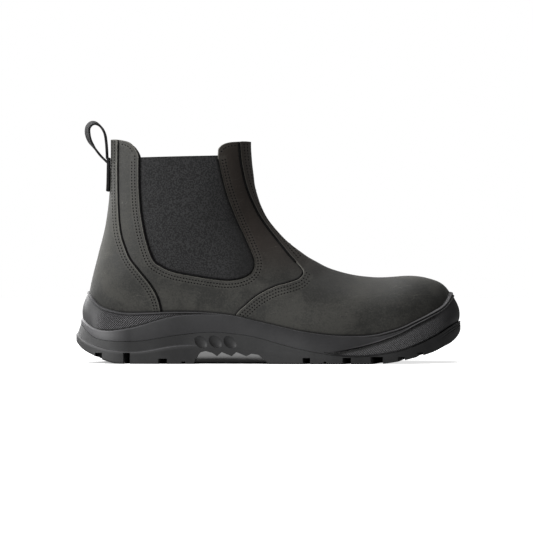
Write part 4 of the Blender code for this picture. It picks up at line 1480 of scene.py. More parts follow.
@dataclass(frozen=True)
class Sole:
    """The outline, heights and insets that the midsole and the outsole share."""

    last: Last = LAST
    width: float = 0.1095
    cup_height: float = 0.0574
    lip: float = 0.0021
    tuck: float = 0.0039
    recess: float = 0.0014
    ledge: float = 0.0012
    gap: float = 0.0003
    heel_roundness: float = 2.2
    toe_roundness: float = 2.15
    toe_sway: float = 0.003
    core_inset: float = 0.0075
    core_thickness: float = 0.005
    count: int = 600
    plan_points: int = 3001
    ray_start: float = 0.05
    ray_miss: float = 0.012

    def half_widths(self, x: Array) -> tuple[Array, Array]:
        """Where the sole's edges lie.

        Args:
            x: distances from the heel.

        Returns:
            Y of the outer and of the inner edge.
        """
        length = self.last.length
        row = level_rows(np.array(SOLE_PLAN), x / length)
        heel_end, toe_start = SOLE_PLAN[0][0] * length, SOLE_PLAN[-1][0] * length
        heel = rounded_end(np.clip((heel_end - x) / heel_end, 0.0, 1.0), self.heel_roundness)
        toe = rounded_end(np.clip((x - toe_start) / (length - toe_start), 0.0, 1.0),
                          self.toe_roundness)
        sway = self.toe_sway * (1 - toe)
        half = 0.5 * self.width * heel * toe
        return sway - row[:, 1] * half, sway + row[:, 2] * half

    def outline(self, count: int = 0) -> tuple[Array, Array]:
        """Points evenly round the sole from the heel's back.

        Args:
            count: how many, or 0 for the usual number.

        Returns:
            The points and their outward directions.
        """
        turn = np.linspace(0.0, math.pi, self.plan_points)
        x = 0.5 * self.last.length * (1 - np.cos(turn))
        outer, inner = self.half_widths(x)
        loop = np.concatenate([np.stack([x, outer], 1), np.stack([x, inner], 1)[-2::-1]])
        points = resampled(loop, (count or self.count) + 1)[:-1]
        along = np.roll(points, -1, axis=0) - np.roll(points, 1, axis=0)
        outward = np.stack([along[:, 1], -along[:, 0]], 1)
        return points, outward / np.linalg.norm(outward, axis=1)[:, None]

    def side(self, x: Array) -> SoleSide:
        """The side's row at distances from the heel."""
        return SoleSide(*level_rows(np.array(SOLE_SIDE), x / self.last.length).T)

    def tread(self, x: Array) -> Array:
        """Height of the tread above the floor."""
        return level_rows(np.array(TREAD), x / self.last.length)[:, 1] * self.cup_height

    def floor(self, x: Array) -> Array:
        """Height of the last's floor.

        Args:
            x: distances from the heel.

        Returns:
            One height for each.
        """
        places = np.linspace(9.0, 0.0, 200)
        line = self.last.surface(places, np.zeros_like(places), 0.0)
        return np.interp(x, line[:, 0], line[:, 2])

    def hug(self, tree: BVHTree, points: Array, outward: Array, heights: Array) -> Array:
        """How far inside the outline a form lies at these heights.

        Args:
            tree: the form's faces.
            points: points of the outline.
            outward: their outward directions.
            heights: a height for each.

        Returns:
            One inset for each point.
        """
        start = self.ray_start
        insets = []
        for (x, y), (out_x, out_y), z in zip(points, outward, heights):
            hit = tree.ray_cast(Vector((x + start * out_x, y + start * out_y, z)),
                                Vector((-out_x, -out_y, 0.0)))[3]
            insets.append((hit if hit is not None else start + self.ray_miss) - start)
        return np.array(insets)

    def core(self, points: Array, outward: Array, down: float) -> Array:
        """The ring that closes the cup below and the tread above.

        Args:
            points: points of the outline.
            outward: their outward directions.
            down: how far it is let down.

        Returns:
            The ring's points.
        """
        parting = self.side(points[:, 0]).parting * self.cup_height
        height = np.minimum(parting, self.floor(points[:, 0]) - self.core_thickness) - down
        return ring_at(points, outward, np.full(len(points), self.core_inset), height)


SOLE = Sole()
RAY_FORM = (160, 120)


def ring_at(points: Array, outward: Array, inset: Array, height: Array) -> Array:
    """Points round the sole, this far inside the outline and this high."""
    spots = points - outward * inset[:, None]
    return np.concatenate([spots, height[:, None]], axis=1)


def last_tree(outset: float) -> BVHTree:
    """The faces of the last's surface, for casting rays on.

    Args:
        outset: how far off the last they lie.

    Returns:
        The faces' tree.
    """
    bm = Upper(sections=RAY_FORM[0], around=RAY_FORM[1]).form(outset)
    tree = BVHTree.FromBMesh(bm)
    bm.free()
    return tree


def capped(bm: bmesh.types.BMesh, rings: Sequence[Array], across: int = 8) -> None:
    """Closes a loft's first and last ring with strips across the boot.

    Args:
        bm: the loft's mesh.
        rings: the two rings.
        across: how many faces lie across.
    """
    for ring in rings:
        half = len(ring) // 2
        left = ring[:half + 1]
        right = np.concatenate([ring[:1], ring[:half - 1:-1]])
        share = np.linspace(0.0, 1.0, across + 1)[None, :, None]
        cap = sheet_over(left[:, None] * (1 - share) + right[:, None] * share, False)
        mesh = bpy.data.meshes.new("cap")
        cap.to_mesh(mesh)
        cap.free()
        bm.from_mesh(mesh)
        bpy.data.meshes.remove(mesh)
    bmesh.ops.remove_doubles(bm, verts=bm.verts, dist=LOFT_MERGE)
    bmesh.ops.dissolve_degenerate(bm, edges=bm.edges, dist=SEAM_MERGE)
    bmesh.ops.recalc_face_normals(bm, faces=bm.faces)


@dataclass(frozen=True)
class Midsole:
    """The moulded cup: a lip that hugs the upper, a raised wave, and two grip panels."""

    sole: Sole = SOLE
    steps: tuple[int, int, int, int] = (14, 16, 36, 8)
    grip_pitch: float = 0.0019
    grip_height: float = 0.0006
    toe_grip_height: float = 0.0004
    bulge: float = 0.0014
    groove_depth: float = 0.0008
    groove_place: float = 0.0019
    groove_width: float = 0.0005
    heel_fade: tuple[float, float] = (0.30, 0.385)
    toe_fade: tuple[float, float] = (0.655, 0.70)
    panel_top: tuple[float, float] = (0.90, 0.945)
    side_bow: float = 1.8
    swell_top: float = 0.93
    lip_start: float = 0.95
    wall_depth: float = 0.0004
    wall_gap: float = 0.0002
    inner_steps: tuple[float, float] = (0.003, 0.008)
    inner_gap: float = 0.0008
    floor_inset: float = 0.016
    skin: float = 0.0006

    def inset(self, level: Array, row: SoleSide, lips: Array, shares: Array) -> Array:
        """How far inside the outline the side lies.

        Args:
            level: height from the parting line, 0, to the lip, 1.
            row: the side's row.
            lips: inset of the lip.
            shares: shares of the length.

        Returns:
            One inset for each level.
        """
        heel = 1 - eased(*self.heel_fade, shares)
        toe = eased(*self.toe_fade, shares)
        soft = 0.022
        panel = eased(row.heel_wave - soft, row.heel_wave + soft, level)
        panel = panel * (1 - eased(*self.panel_top, level)) * heel
        grip = (1 - eased(row.toe_wave - soft, row.toe_wave + soft, level)) * toe
        inset = mixed(row.tuck * self.sole.tuck, lips, np.clip(level, 0, 1) ** self.side_bow)
        back = (level - row.heel_wave) / np.maximum(self.swell_top - row.heel_wave, 0.05)
        back = np.clip(back, 0.0, 1.0)
        ahead = np.clip(level / row.toe_wave, 0.0, 1.0)
        swell = (np.sin(math.pi * back) * (1 - eased(0.0, 0.06, shares))
                 + np.sin(math.pi * ahead) * eased(0.93, 1.0, shares))
        return (inset + self.sole.recess * (panel + grip) - self.bulge * swell
                + self.groove_depth * self.groove(level, row, shares))

    def groove(self, level: Array, row: SoleSide, shares: Array) -> Array:
        """How deep the groove under the toe's bead is, 1 at its bottom.

        Args:
            level: height from the parting line, 0, to the lip, 1.
            row: the side's row.
            shares: shares of the length.

        Returns:
            One share for each level.
        """
        down = (1 - level) * (row.lip - row.parting) * self.sole.cup_height
        there = eased(0.74, 0.80, shares)
        return np.exp(-((down - self.groove_place) / self.groove_width) ** 2) * there

    def highlight_share(self, level: Array, row: SoleSide, shares: Array) -> Array:
        """How much painted highlight the side gets: along the wave's upper edge, along its lower one
        at the toe, and as a broad sheen on the wave at the heel's back.

        Args:
            level: height from the parting line, 0, to the lip, 1.
            row: the side's row.
            shares: shares of the length.

        Returns:
            One share for each level.
        """
        heel = np.exp(-((level - row.heel_wave + 0.008) / 0.020) ** 2)
        toe = np.exp(-((level - row.toe_wave - 0.026) / 0.022) ** 2)
        heel = heel * (1 - eased(*self.heel_fade, shares))
        shine = np.exp(-((level - 0.62 * row.heel_wave) / 0.16) ** 2)
        shine = 0.30 * shine * (1 - eased(0.04, 0.15, shares))
        return np.clip(0.6 * heel + 0.6 * toe * eased(0.68, 0.76, shares) + shine, 0.0, 1.0)

    def shadow(self, level: Array, row: SoleSide, shares: Array) -> Array:
        """How much painted shadow the side gets: where the wave meets a grip, and in the toe's groove.

        Args:
            level: height from the parting line, 0, to the lip, 1.
            row: the side's row.
            shares: shares of the length.

        Returns:
            One share for each level.
        """
        heel = np.exp(-((level - row.heel_wave - 0.040) / 0.026) ** 2)
        toe = eased(-0.02, 0.015, row.toe_wave - level) * (level > 0.1 * row.toe_wave)
        heel = heel * (1 - eased(*self.heel_fade, shares)) * eased(0.0, 0.03, shares)
        toe = toe * eased(*self.toe_fade, shares) * (1 - eased(0.88, 0.96, shares))
        return np.clip(heel + toe + 0.85 * self.groove(level, row, shares), 0.0, 0.95)

    def build(self, finishes: Finishes) -> None:
        """Builds and dresses the cup and its grip panels.

        Args:
            finishes: the boot's materials.
        """
        sole = self.sole
        points, outward = sole.outline()
        shares = points[:, 0] / sole.last.length
        row = sole.side(points[:, 0])
        tree, skin = last_tree(sole.lip), last_tree(0.0)
        top = row.lip * sole.cup_height
        base = row.parting * sole.cup_height
        lips = sole.hug(tree, points, outward, top)
        levels = [np.zeros_like(shares)]
        stops = (np.zeros_like(shares), row.toe_wave, row.heel_wave,
                 np.full_like(shares, self.lip_start))
        for first, second, count in zip(stops, stops[1:], self.steps):
            levels += [mixed(first, second, k / count) for k in range(1, count + 1)]
        rings, worn, deep = [], [], []
        for level in levels:
            inset = self.inset(level, row, lips, shares)
            rings.append(ring_at(points, outward, inset, mixed(base, top, level)))
            # Each ring keeps its share of painted highlight and of painted shadow.
            worn.append(self.highlight_share(level, row, shares))
            deep.append(self.shadow(level, row, shares))
        wall = sole.hug(skin, points, outward, top - self.wall_depth)
        edge = mixed(base, top, self.lip_start)
        for k in range(1, self.steps[3] + 1):
            turn = 0.5 * math.pi * k / self.steps[3]
            inset = self.inset(np.full_like(shares, self.lip_start), row, lips, shares)
            inset = mixed(inset, wall + self.wall_gap, 1 - math.cos(turn))
            rings.append(ring_at(points, outward, inset, mixed(edge, top, math.sin(turn))))
            # painted highlight along the bead's outer turn, strongest towards the toe
            worn.append(math.sin(2 * turn) * mixed(0.40, 0.75, eased(0.88, 0.97, shares)))
            deep.append(np.zeros_like(shares))
        for down in self.inner_steps:
            height = np.maximum(top - down, sole.floor(points[:, 0]) + 0.001)
            inset = sole.hug(skin, points, outward, height) + self.inner_gap
            rings.append(ring_at(points, outward, inset, height))
        floor = ring_at(points, outward, np.full_like(top, self.floor_inset),
                          sole.floor(points[:, 0]) - self.inner_gap)
        rings.append(floor)
        core = sole.core(points, outward, 0.0)
        rings.insert(0, core)
        blank = [np.zeros_like(shares)]
        worn = blank + worn + 3 * blank
        deep = blank + deep + 3 * blank
        bm = sheet_over(np.stack(rings), True, worn=np.stack(worn), deep=np.stack(deep))
        capped(bm, (core, floor))
        piece = piece_from("midsole_cup", bm, Shade.CREASED)
        dress(piece, finishes.midsole, ["midsole"])
        for name in ("heel_grip", "toe_grip"):
            self.grip(name, finishes, lips, points, outward)

    def grip(self, name: str, finishes: Finishes, lips: Array, points: Array,
             outward: Array) -> None:
        """A recessed panel's skin of slanted ribs, which lean forward at the heel and back at the toe.

        Args:
            name: heel_grip or toe_grip.
            finishes: the boot's materials.
            lips: inset of the lip for each point of the outline.
            points: points of the outline.
            outward: their outward directions.
        """
        sole, heel = self.sole, name == "heel_grip"
        step = self.grip_pitch / 4
        perimeter = np.linalg.norm(np.diff(points, axis=0), axis=1).sum()
        count = 2 * round(0.5 * perimeter / step)
        fine, out = sole.outline(count)
        place = np.linspace(0, len(points), count, endpoint=False)
        lip = np.interp(place, np.arange(len(points) + 1), np.append(lips, lips[0]))
        shares = fine[:, 0] / sole.last.length
        keep = shares < 0.40 if heel else shares > 0.64
        order = np.nonzero(keep)[0]
        if heel:
            order = np.concatenate([order[order > count // 2], order[order <= count // 2]])
        fine, out, lip, shares = fine[order], out[order], lip[order], shares[order]
        row = sole.side(fine[:, 0])
        base, top = row.parting * sole.cup_height, row.lip * sole.cup_height
        if heel:
            bottom, height = mixed(base, top, row.heel_wave), mixed(base, top, 0.915)
            rows = round((height.max() - bottom.min()) / step)
            size = self.grip_height * eased(0.030, 0.075, shares)
        else:
            bottom, height = base + 0.0004, mixed(base, top, row.toe_wave)
            rows = round((height - bottom).max() / step)
            size = self.toe_grip_height * (1 - eased(0.93, 0.975, shares))
        sheets, worn, deep = [], [], []
        for j in range(rows + 1):
            if heel:
                z = np.clip(mixed(bottom.min(), height.max(), j / rows), bottom, height)
                phase = (np.arange(len(order)) - j) / 4
                border = z - bottom
            else:
                z = mixed(bottom, height, j / rows)
                phase = np.arange(len(order)) / 4 + z / self.grip_pitch
                border = height - z
            crest = 0.5 + 0.5 * np.cos(math.tau * phase)
            fade = eased(0.0, 0.0008, np.minimum(z - bottom, height - z))
            lift = size * crest * fade + 0.00015 * fade - 0.0002 * (1 - fade)
            level = (z - base) / (top - base)
            inset = self.inset(level, row, lip, shares) - lift
            sheets.append(ring_at(fine, out, inset, z))
            share = size / size.max()
            # painted highlight on the ribs' crests
            worn.append((1.0 if heel else 0.85) * crest * share * fade)
            # painted shade beside the wave's edge and in the troughs between the ribs
            shadow = 1 - eased(0.0006 if heel else 0.0016, 0.0020 if heel else 0.0042, border)
            deep.append(np.maximum(shadow * (share + 0.6 * heel).clip(0, 1),
                                   0.85 * (1 - crest) * share))
        bm = sheet_over(np.stack(sheets), False, worn=np.stack(worn), deep=np.stack(deep))
        bmesh.ops.remove_doubles(bm, verts=bm.verts, dist=LOFT_MERGE)
        bmesh.ops.recalc_face_normals(bm, faces=bm.faces)
        middle = Vector((0.15 if heel else 0.2, 0.0, 0.03))
        face_along(bm, lambda face: face.normal.dot(face.calc_center_median() - middle))
        piece = piece_from(name, bm, Shade.FLAT)
        give_wall(piece, self.skin)
        dress(piece, finishes.midsole)


class Channel(NamedTuple):
    """A groove across the tread: its middle along the sole, width, depth, reach and slant."""

    along: float
    width: float
    depth: float
    reach: float
    slant: float


CHANNELS = (
    Channel(0.0645, 0.0060, 0.0045, 0.55, 8),
    Channel(0.1351, 0.0052, 0.0088, 0.62, 14),
    Channel(0.2281, 0.0068, 0.0042, 0.60, 14),
    Channel(0.2815, 0.0030, 0.0019, 0.60, 14),
    Channel(0.5965, 0.0059, 0.0050, 0.66, 16),
    Channel(0.6438, 0.0020, 0.0022, 0.50, 16),
    Channel(0.6993, 0.0064, 0.0052, 0.66, 16),
    Channel(0.7774, 0.0092, 0.0058, 0.66, 14),
    Channel(0.8415, 0.0052, 0.0030, 0.62, 12),
    Channel(0.8912, 0.0052, 0.0028, 0.60, 8),
)


@dataclass(frozen=True)
class Outsole:
    """The tread: lugs under heel and ball, an arch with teeth, and flutes above it."""

    sole: Sole = SOLE
    bevel: float = 0.0012
    front_ledge: float = 0.0007
    ledge_fade: tuple[float, float] = (0.27, 0.34)
    lug_fade: tuple[float, float] = (0.0, 0.08)
    front_fade: tuple[float, float] = (0.93, 0.985)
    least_lug: float = 0.45
    floor_inset: float = 0.006
    count: int = 420
    crease_angle: float = 28.0
    arch: tuple[float, float] = (0.3023, 0.5080)
    arch_height: float = 0.0102
    tooth_depth: float = 0.0040
    tooth_pitch: float = 0.0116
    first_tooth: float = 0.3677
    flute: tuple[float, float, float] = (0.0125, 0.0018, 0.0042)
    flute_lean: float = 41.0
    centre_channels: tuple[tuple[float, float], ...] = ((0.150, 0.255), (0.585, 0.800))
    centre_width: float = 0.0065
    centre_depth: float = 0.0036

    def blank(self) -> bpy.types.Object:
        """The outsole before its tread is cut.

        Returns:
            Its object.
        """
        sole = self.sole
        points, outward = sole.outline(self.count)
        shares = points[:, 0] / sole.last.length
        row = sole.side(points[:, 0])
        top = row.parting * sole.cup_height - sole.gap
        ledge = sole.ledge * (1 - eased(*self.ledge_fade, shares))
        tuck = row.tuck * sole.tuck
        lug = np.maximum(tuck - sole.ledge, 0.0) * eased(*self.lug_fade, shares)
        bottom_x = (points - outward * (lug + self.bevel)[:, None])[:, 0]
        bottom = sole.tread(bottom_x)
        lug_top = np.maximum(row.lug * top, mixed(bottom, top, self.least_lug))
        step_top = np.minimum(lug_top + 0.5 * sole.ledge, mixed(lug_top, top, 0.5))
        rings = []
        for k in range(5):
            turn = 0.5 * math.pi * k / 4
            rings.append((lug + self.bevel * (1 - math.sin(turn)),
                          bottom + self.bevel * (1 - math.cos(turn))))
        for k in range(1, 6):
            rings.append((lug, mixed(bottom + self.bevel, lug_top - 0.0006, k / 5)))
        rings += [(lug + 0.25 * ledge, lug_top), (lug + ledge, step_top)]
        front = self.front_ledge * eased(*self.front_fade, shares)
        for k in range(1, 13):
            notch = front * (1 - abs(math.sin(3 * math.pi * k / 12)))
            rings.append((mixed(lug + ledge, tuck, k / 12) + notch * (k < 12),
                          mixed(step_top, top, k / 12)))
        loft = [ring_at(points, outward, inset, height) for inset, height in rings]
        floor = loft[0].copy()
        floor[:, :2] = points - outward * self.floor_inset
        floor[:, 2] = sole.tread(floor[:, 0])
        loft.insert(0, floor)
        core = sole.core(points, outward, sole.gap)
        loft.append(core)
        bm = sheet_over(np.stack(loft), True)
        capped(bm, (floor, core))
        return piece_from("tread_sole", bm)

    def highlight_share(self, points: Array) -> Array:
        """How much painted highlight the tread gets: along the lugs' upper edge at the heel.

        Args:
            points: rows of X, Y and Z.

        Returns:
            One share for each point.
        """
        row = self.sole.side(points[:, 0])
        top = row.parting * self.sole.cup_height - self.sole.gap
        bottom = self.sole.tread(points[:, 0])
        edge = np.maximum(row.lug * top, mixed(bottom, top, self.least_lug))
        there = 1 - eased(*self.ledge_fade, points[:, 0] / self.sole.last.length)
        return 0.4 * np.exp(-((points[:, 2] - edge) / 0.0005) ** 2) * there

    def add_prism(self, bm: bmesh.types.BMesh, outline: Sequence[tuple[float, float]]) -> None:
        """Adds what an outline sweeps across the sole.

        Args:
            bm: the mesh that it is added to.
            outline: its corners in X and Z.
        """
        width = self.sole.width
        face = bm.faces.new([bm.verts.new((x, -width, z)) for x, z in outline])
        swept = bmesh.ops.extrude_face_region(bm, geom=[face])
        moved = [item for item in swept["geom"] if isinstance(item, bmesh.types.BMVert)]
        bmesh.ops.translate(bm, verts=moved, vec=(0, 2 * width, 0))

    def arch_outline(self) -> list[tuple[float, float]]:
        """The gap under the waist seen from the side, with teeth along its top.

        Returns:
            Its corners in X and Z.
        """
        length, height = self.sole.last.length, self.arch_height
        start, end = (share * length for share in self.arch)
        first = self.first_tooth * length
        outline = [(start, -0.004), (start + 0.0024, 0.22 * height),
                   (start + 0.0046, 0.61 * height), (start + 0.0073, 0.91 * height),
                   (start + 0.0110, height), (first - 0.0037, 0.86 * height)]
        for k, crest in enumerate((0.92, 0.92, 0.80)):
            x = first + k * self.tooth_pitch
            outline += [(x, height - self.tooth_depth), (x + 0.0037, crest * height)]
        outline += [(end - 0.0105, 0.72 * height), (end - 0.0076, 0.48 * height)]
        return outline + [(end - 0.0016, -0.0002), (end, -0.004)]

    def cutter(self) -> bpy.types.Object:
        """Everything that is cut out of the tread.

        Returns:
            One object.
        """
        sole, bm = self.sole, bmesh.new()
        self.add_prism(bm, self.arch_outline())
        for side in Side:
            sign, which = side.value, 0 if side is Side.OUTER else 1
            for number in range(3):
                x = self.first_tooth * sole.last.length
                x += (number - 1) * self.tooth_pitch - 0.0015
                z = 0.5 * (self.arch_height + sole.side(np.array([x])).parting[0]
                           * sole.cup_height)
                y = sole.half_widths(np.array([x]))[which][0]
                place = (Matrix.Translation((x, y, z))
                         @ Matrix.Rotation(math.radians(self.flute_lean), 4, "Y")
                         @ Matrix.Diagonal((0.5 * self.flute[0], self.flute[1], self.flute[2], 1)))
                bmesh.ops.create_uvsphere(bm, u_segments=24, v_segments=16, radius=1.0,
                                          matrix=place)
            for channel in CHANNELS:
                x = channel.along * sole.last.length
                edge = sole.half_widths(np.array([x]))[which][0]
                length = abs(edge) * channel.reach + 0.008
                depth = channel.depth + 0.006
                middle = sole.tread(np.array([x]))[0] + channel.depth - 0.5 * depth
                place = (Matrix.Translation((x - 0.0022, edge + sign * 0.008, middle))
                         @ Matrix.Rotation(sign * math.radians(channel.slant), 4, "Z")
                         @ Matrix.Translation((0, -sign * 0.5 * length, 0))
                         @ Matrix.Diagonal((channel.width, length, depth, 1)))
                bmesh.ops.create_cube(bm, size=1.0, matrix=place)
        for first, last in self.centre_channels:
            start, end = first * sole.last.length, last * sole.last.length
            place = (Matrix.Translation((0.5 * (start + end), 0, 0))
                     @ Matrix.Diagonal((end - start, self.centre_width, 2 * self.centre_depth, 1)))
            bmesh.ops.create_cube(bm, size=1.0, matrix=place)
        bmesh.ops.recalc_face_normals(bm, faces=bm.faces)
        return piece_from("tread_cutter", bm, Shade.FLAT)

    def build(self, finishes: Finishes) -> None:
        """Builds and dresses the outsole.

        Args:
            finishes: the boot's materials.
        """
        piece, cutter = self.blank(), self.cutter()
        cut = piece.modifiers.new("tread", "BOOLEAN")
        cut.operation = "DIFFERENCE"
        cut.solver = "EXACT"
        cut.use_self = True
        cut.object = cutter
        graph = bpy.context.evaluated_depsgraph_get()
        mesh = bpy.data.meshes.new_from_object(piece.evaluated_get(graph))
        piece.modifiers.clear()
        piece.data = mesh
        bpy.data.objects.remove(cutter)
        mesh.shade_smooth()
        mesh.set_sharp_from_angle(angle=math.radians(self.crease_angle))
        # painted highlight along the lugs' upper edge
        note_distance(piece, "worn", self.highlight_share)
        dress(piece, finishes.outsole, ["outsole"])


@dataclass(frozen=True)
class Insole:
    """The felt footbed, cupped a little at its edge."""

    last: Last = LAST
    inset: float = 0.0034
    thickness: float = 0.0042
    edge_turn: float = 0.42
    edge_crowding: float = 0.32
    ends: tuple[float, float] = (0.25, 8.5)
    lift: float = 0.0004
    rows: int = 150
    columns: int = 60

    def build(self, finishes: Finishes) -> None:
        """Builds and dresses the insole.

        Args:
            finishes: the boot's materials.
        """
        places = self.last.even_places(*self.ends, self.rows)
        across = np.linspace(-1.0, 1.0, self.columns)
        turns = np.copysign(self.edge_turn * np.abs(across) ** (1 / self.edge_crowding), across)
        grid = [axis.ravel() for axis in np.meshgrid(places, turns, indexing="ij")]
        points = self.last.surface(grid[0], grid[1], -self.inset)
        points[:, 2] += self.lift
        bm = sheet_over(points.reshape(self.rows, self.columns, 3), False)
        bmesh.ops.recalc_face_normals(bm, faces=bm.faces)
        bm.normal_update()
        face_along(bm, lambda face: -face.normal.z)
        piece = piece_from("footbed", bm)
        give_wall(piece, self.thickness, 0.0005)
        dress(piece, finishes.felt, ["insole"])


LOOP_LINE = (
    Spot(0.0812, 0.8990),
    Spot(0.0760, 0.9080),
    Spot(0.0614, 0.9335),
    Spot(0.0458, 0.9694),
    Spot(0.0341, 1.0009),
    Spot(0.0292, 1.0324),
    Spot(0.0302, 1.0571),
    Spot(0.0380, 1.0737),
    Spot(0.0484, 1.0764),
    Spot(0.0588, 1.0674),
    Spot(0.0680, 1.0503),
    Spot(0.0745, 1.0256),
    Spot(0.0776, 0.9919),
    Spot(0.0792, 0.9560),
    Spot(0.0802, 0.9150),
)


@dataclass(frozen=True)
class PullLoop:
    """The webbing loop on the heel's back: a tall ring whose joined tails are sewn down."""

    last: Last = LAST
    width: float = 0.016
    thickness: float = 0.0017
    tail_thickness: float = 0.0025
    tail: tuple[float, float] = (0.137, 0.164)
    twist: float = 14.0
    twist_up: tuple[float, float] = (0.165, 0.185)
    twist_along: tuple[float, float] = (0.010, 0.020)
    gap: float = 0.0003
    rim: float = 0.0005
    points: int = 140
    tail_points: int = 40

    def back(self, heights: Array) -> Array:
        """Where the counter's outer face lies midway across the heel.

        Args:
            heights: heights above the floor.

        Returns:
            X at each.
        """
        places = np.linspace(9.0, 16.0, 120)
        line = self.last.surface(places, np.zeros_like(places), 0.0)
        return np.interp(heights, line[:, 2], line[:, 0])

    def ribbon(self, name: str, line: Array, thickness: float, twist: Array) -> bpy.types.Object:
        """A band along a line in X and Z.

        Args:
            name: the band's name.
            line: its middle.
            thickness: its thickness.
            twist: degrees that it is turned about its own line, for each point.

        Returns:
            The band's object.
        """
        along = np.gradient(line, axis=0)
        along /= np.linalg.norm(along, axis=1)[:, None]
        across = np.linspace(-0.5, 0.5, 13) * self.width
        rows = []
        for (x, z), (way_x, way_z), turn in zip(line, along, np.radians(twist)):
            swing = math.sin(turn) * across
            rows.append(np.stack([x - way_z * swing, math.cos(turn) * across,
                                  z + way_x * swing], axis=1))
        bm = sheet_over(np.stack(rows), False)
        bmesh.ops.recalc_face_normals(bm, faces=bm.faces)
        piece = piece_from(name, bm)
        give_wall(piece, thickness, self.rim)
        piece.modifiers["wall"].offset = 0.0
        return piece

    def build(self, finishes: Finishes) -> None:
        """Builds and dresses the loop and its tail.

        Args:
            finishes: the boot's materials.
        """
        line = resampled(seam_line(LOOP_LINE), self.points)
        up = eased(*self.twist_up, line[:, 1])
        left = 1 - eased(*self.twist_along, line[:, 0])
        loop = self.ribbon("loop_ring", line, self.thickness, self.twist * up * left)
        heights = np.linspace(self.tail[1], self.tail[0], self.tail_points)
        middle = self.back(heights) - self.gap - 0.5 * self.tail_thickness
        tail = self.ribbon("loop_tail", np.stack([middle, heights], 1), self.tail_thickness,
                           np.zeros(self.tail_points))
        for piece in (loop, tail):
            dress(piece, finishes.webbing, ["pull_loop"])


class StitchRow(NamedTuple):
    """Stitches along a seam in the side view, this far to its left, on a form at this outset."""

    seam: str
    line: tuple[Spot, ...]
    offset: float
    level: float
    first: float = 0.0


GORE_SEAM = GORE_BACK + GORE_FOOT + GORE_FRONT
PROUD, FLUSH = 0.0, -0.0009
STITCH_ROWS = (
    StitchRow("counter", COUNTER_EDGE, -0.0022, PROUD),
    StitchRow("counter", COUNTER_EDGE, -0.0044, PROUD, 0.05),
    StitchRow("gore", GORE_SEAM, -0.0028, FLUSH),
    StitchRow("gore", GORE_SEAM, -0.0052, FLUSH, 0.02),
    StitchRow("vamp", VAMP_FRONT, 0.0030, PROUD),
    StitchRow("vamp", VAMP_FRONT, 0.0054, PROUD),
    StitchRow("vamp", VAMP_WING, 0.0024, PROUD),
    StitchRow("vamp", VAMP_WING, 0.0048, PROUD),
    StitchRow("vamp", VAMP_WING, 0.0072, PROUD, 0.05),
    StitchRow("collar", COLLAR_BACK, -0.0030, FLUSH),
    StitchRow("collar", COLLAR_FRONT[:5], -0.0030, FLUSH),
)


def beside(line: Array, offset: float) -> Array:
    """A line in the side view, moved to its left.

    Args:
        line: rows of X and Z.
        offset: how far it is moved.

    Returns:
        The moved line.
    """
    way = np.gradient(line, axis=0)
    way /= np.linalg.norm(way, axis=1)[:, None]
    return line + np.stack([-way[:, 1], way[:, 0]], 1) * offset


def spaced_beside(spots: Sequence[Spot], offset: float, pitch: float) -> Array:
    """Points a pitch apart along a line beside a seam.

    Args:
        spots: the seam's spots.
        offset: how far to the seam's left the line lies.
        pitch: the way from one point to the next.

    Returns:
        Rows of X, 0 and Z.
    """
    line = beside(resampled(seam_line(spots), LINE_POINTS), offset)
    length = np.linalg.norm(np.diff(line, axis=0), axis=1).sum()
    line = resampled(line, round(length / pitch))
    return np.stack([line[:, 0], np.zeros(len(line)), line[:, 1]], 1)


def sewn_distance(points: Array) -> Array:
    """How far each point lies from the nearest row of stitches, in the side view.

    Args:
        points: rows of X, Y and Z.

    Returns:
        One distance for each point.
    """
    rows = [resampled(beside(seam_line(row.line), row.offset), LINE_POINTS)
            for row in STITCH_ROWS]
    spots = np.concatenate(rows)
    tree = KDTree(len(spots))
    for k, (x, z) in enumerate(spots):
        tree.insert((x, z, 0.0), k)
    tree.balance()
    return np.array([tree.find((x, z, 0.0))[2] for x, _, z in points])


def seam_hits(line: Array, side: Side, tree: BVHTree) -> list[tuple[Vector, Vector] | None]:
    """Where a line in the side view meets one side of a form, with the normals there.

    Args:
        line: rows of X, 0 and Z.
        side: the side of the boot.
        tree: the form's faces.

    Returns:
        A place and its outward normal for each row, or None where the form has nothing there.
    """
    hits = []
    for x, _, z in line:
        start = Vector((x, side.value * LAST.ball_width, z))
        place, normal = tree.ray_cast(start, Vector((0, -side.value, 0)))[:2]
        if place is not None and normal.y * side.value < 0:
            normal = -normal
        hits.append((place, normal) if place is not None else None)
    return hits


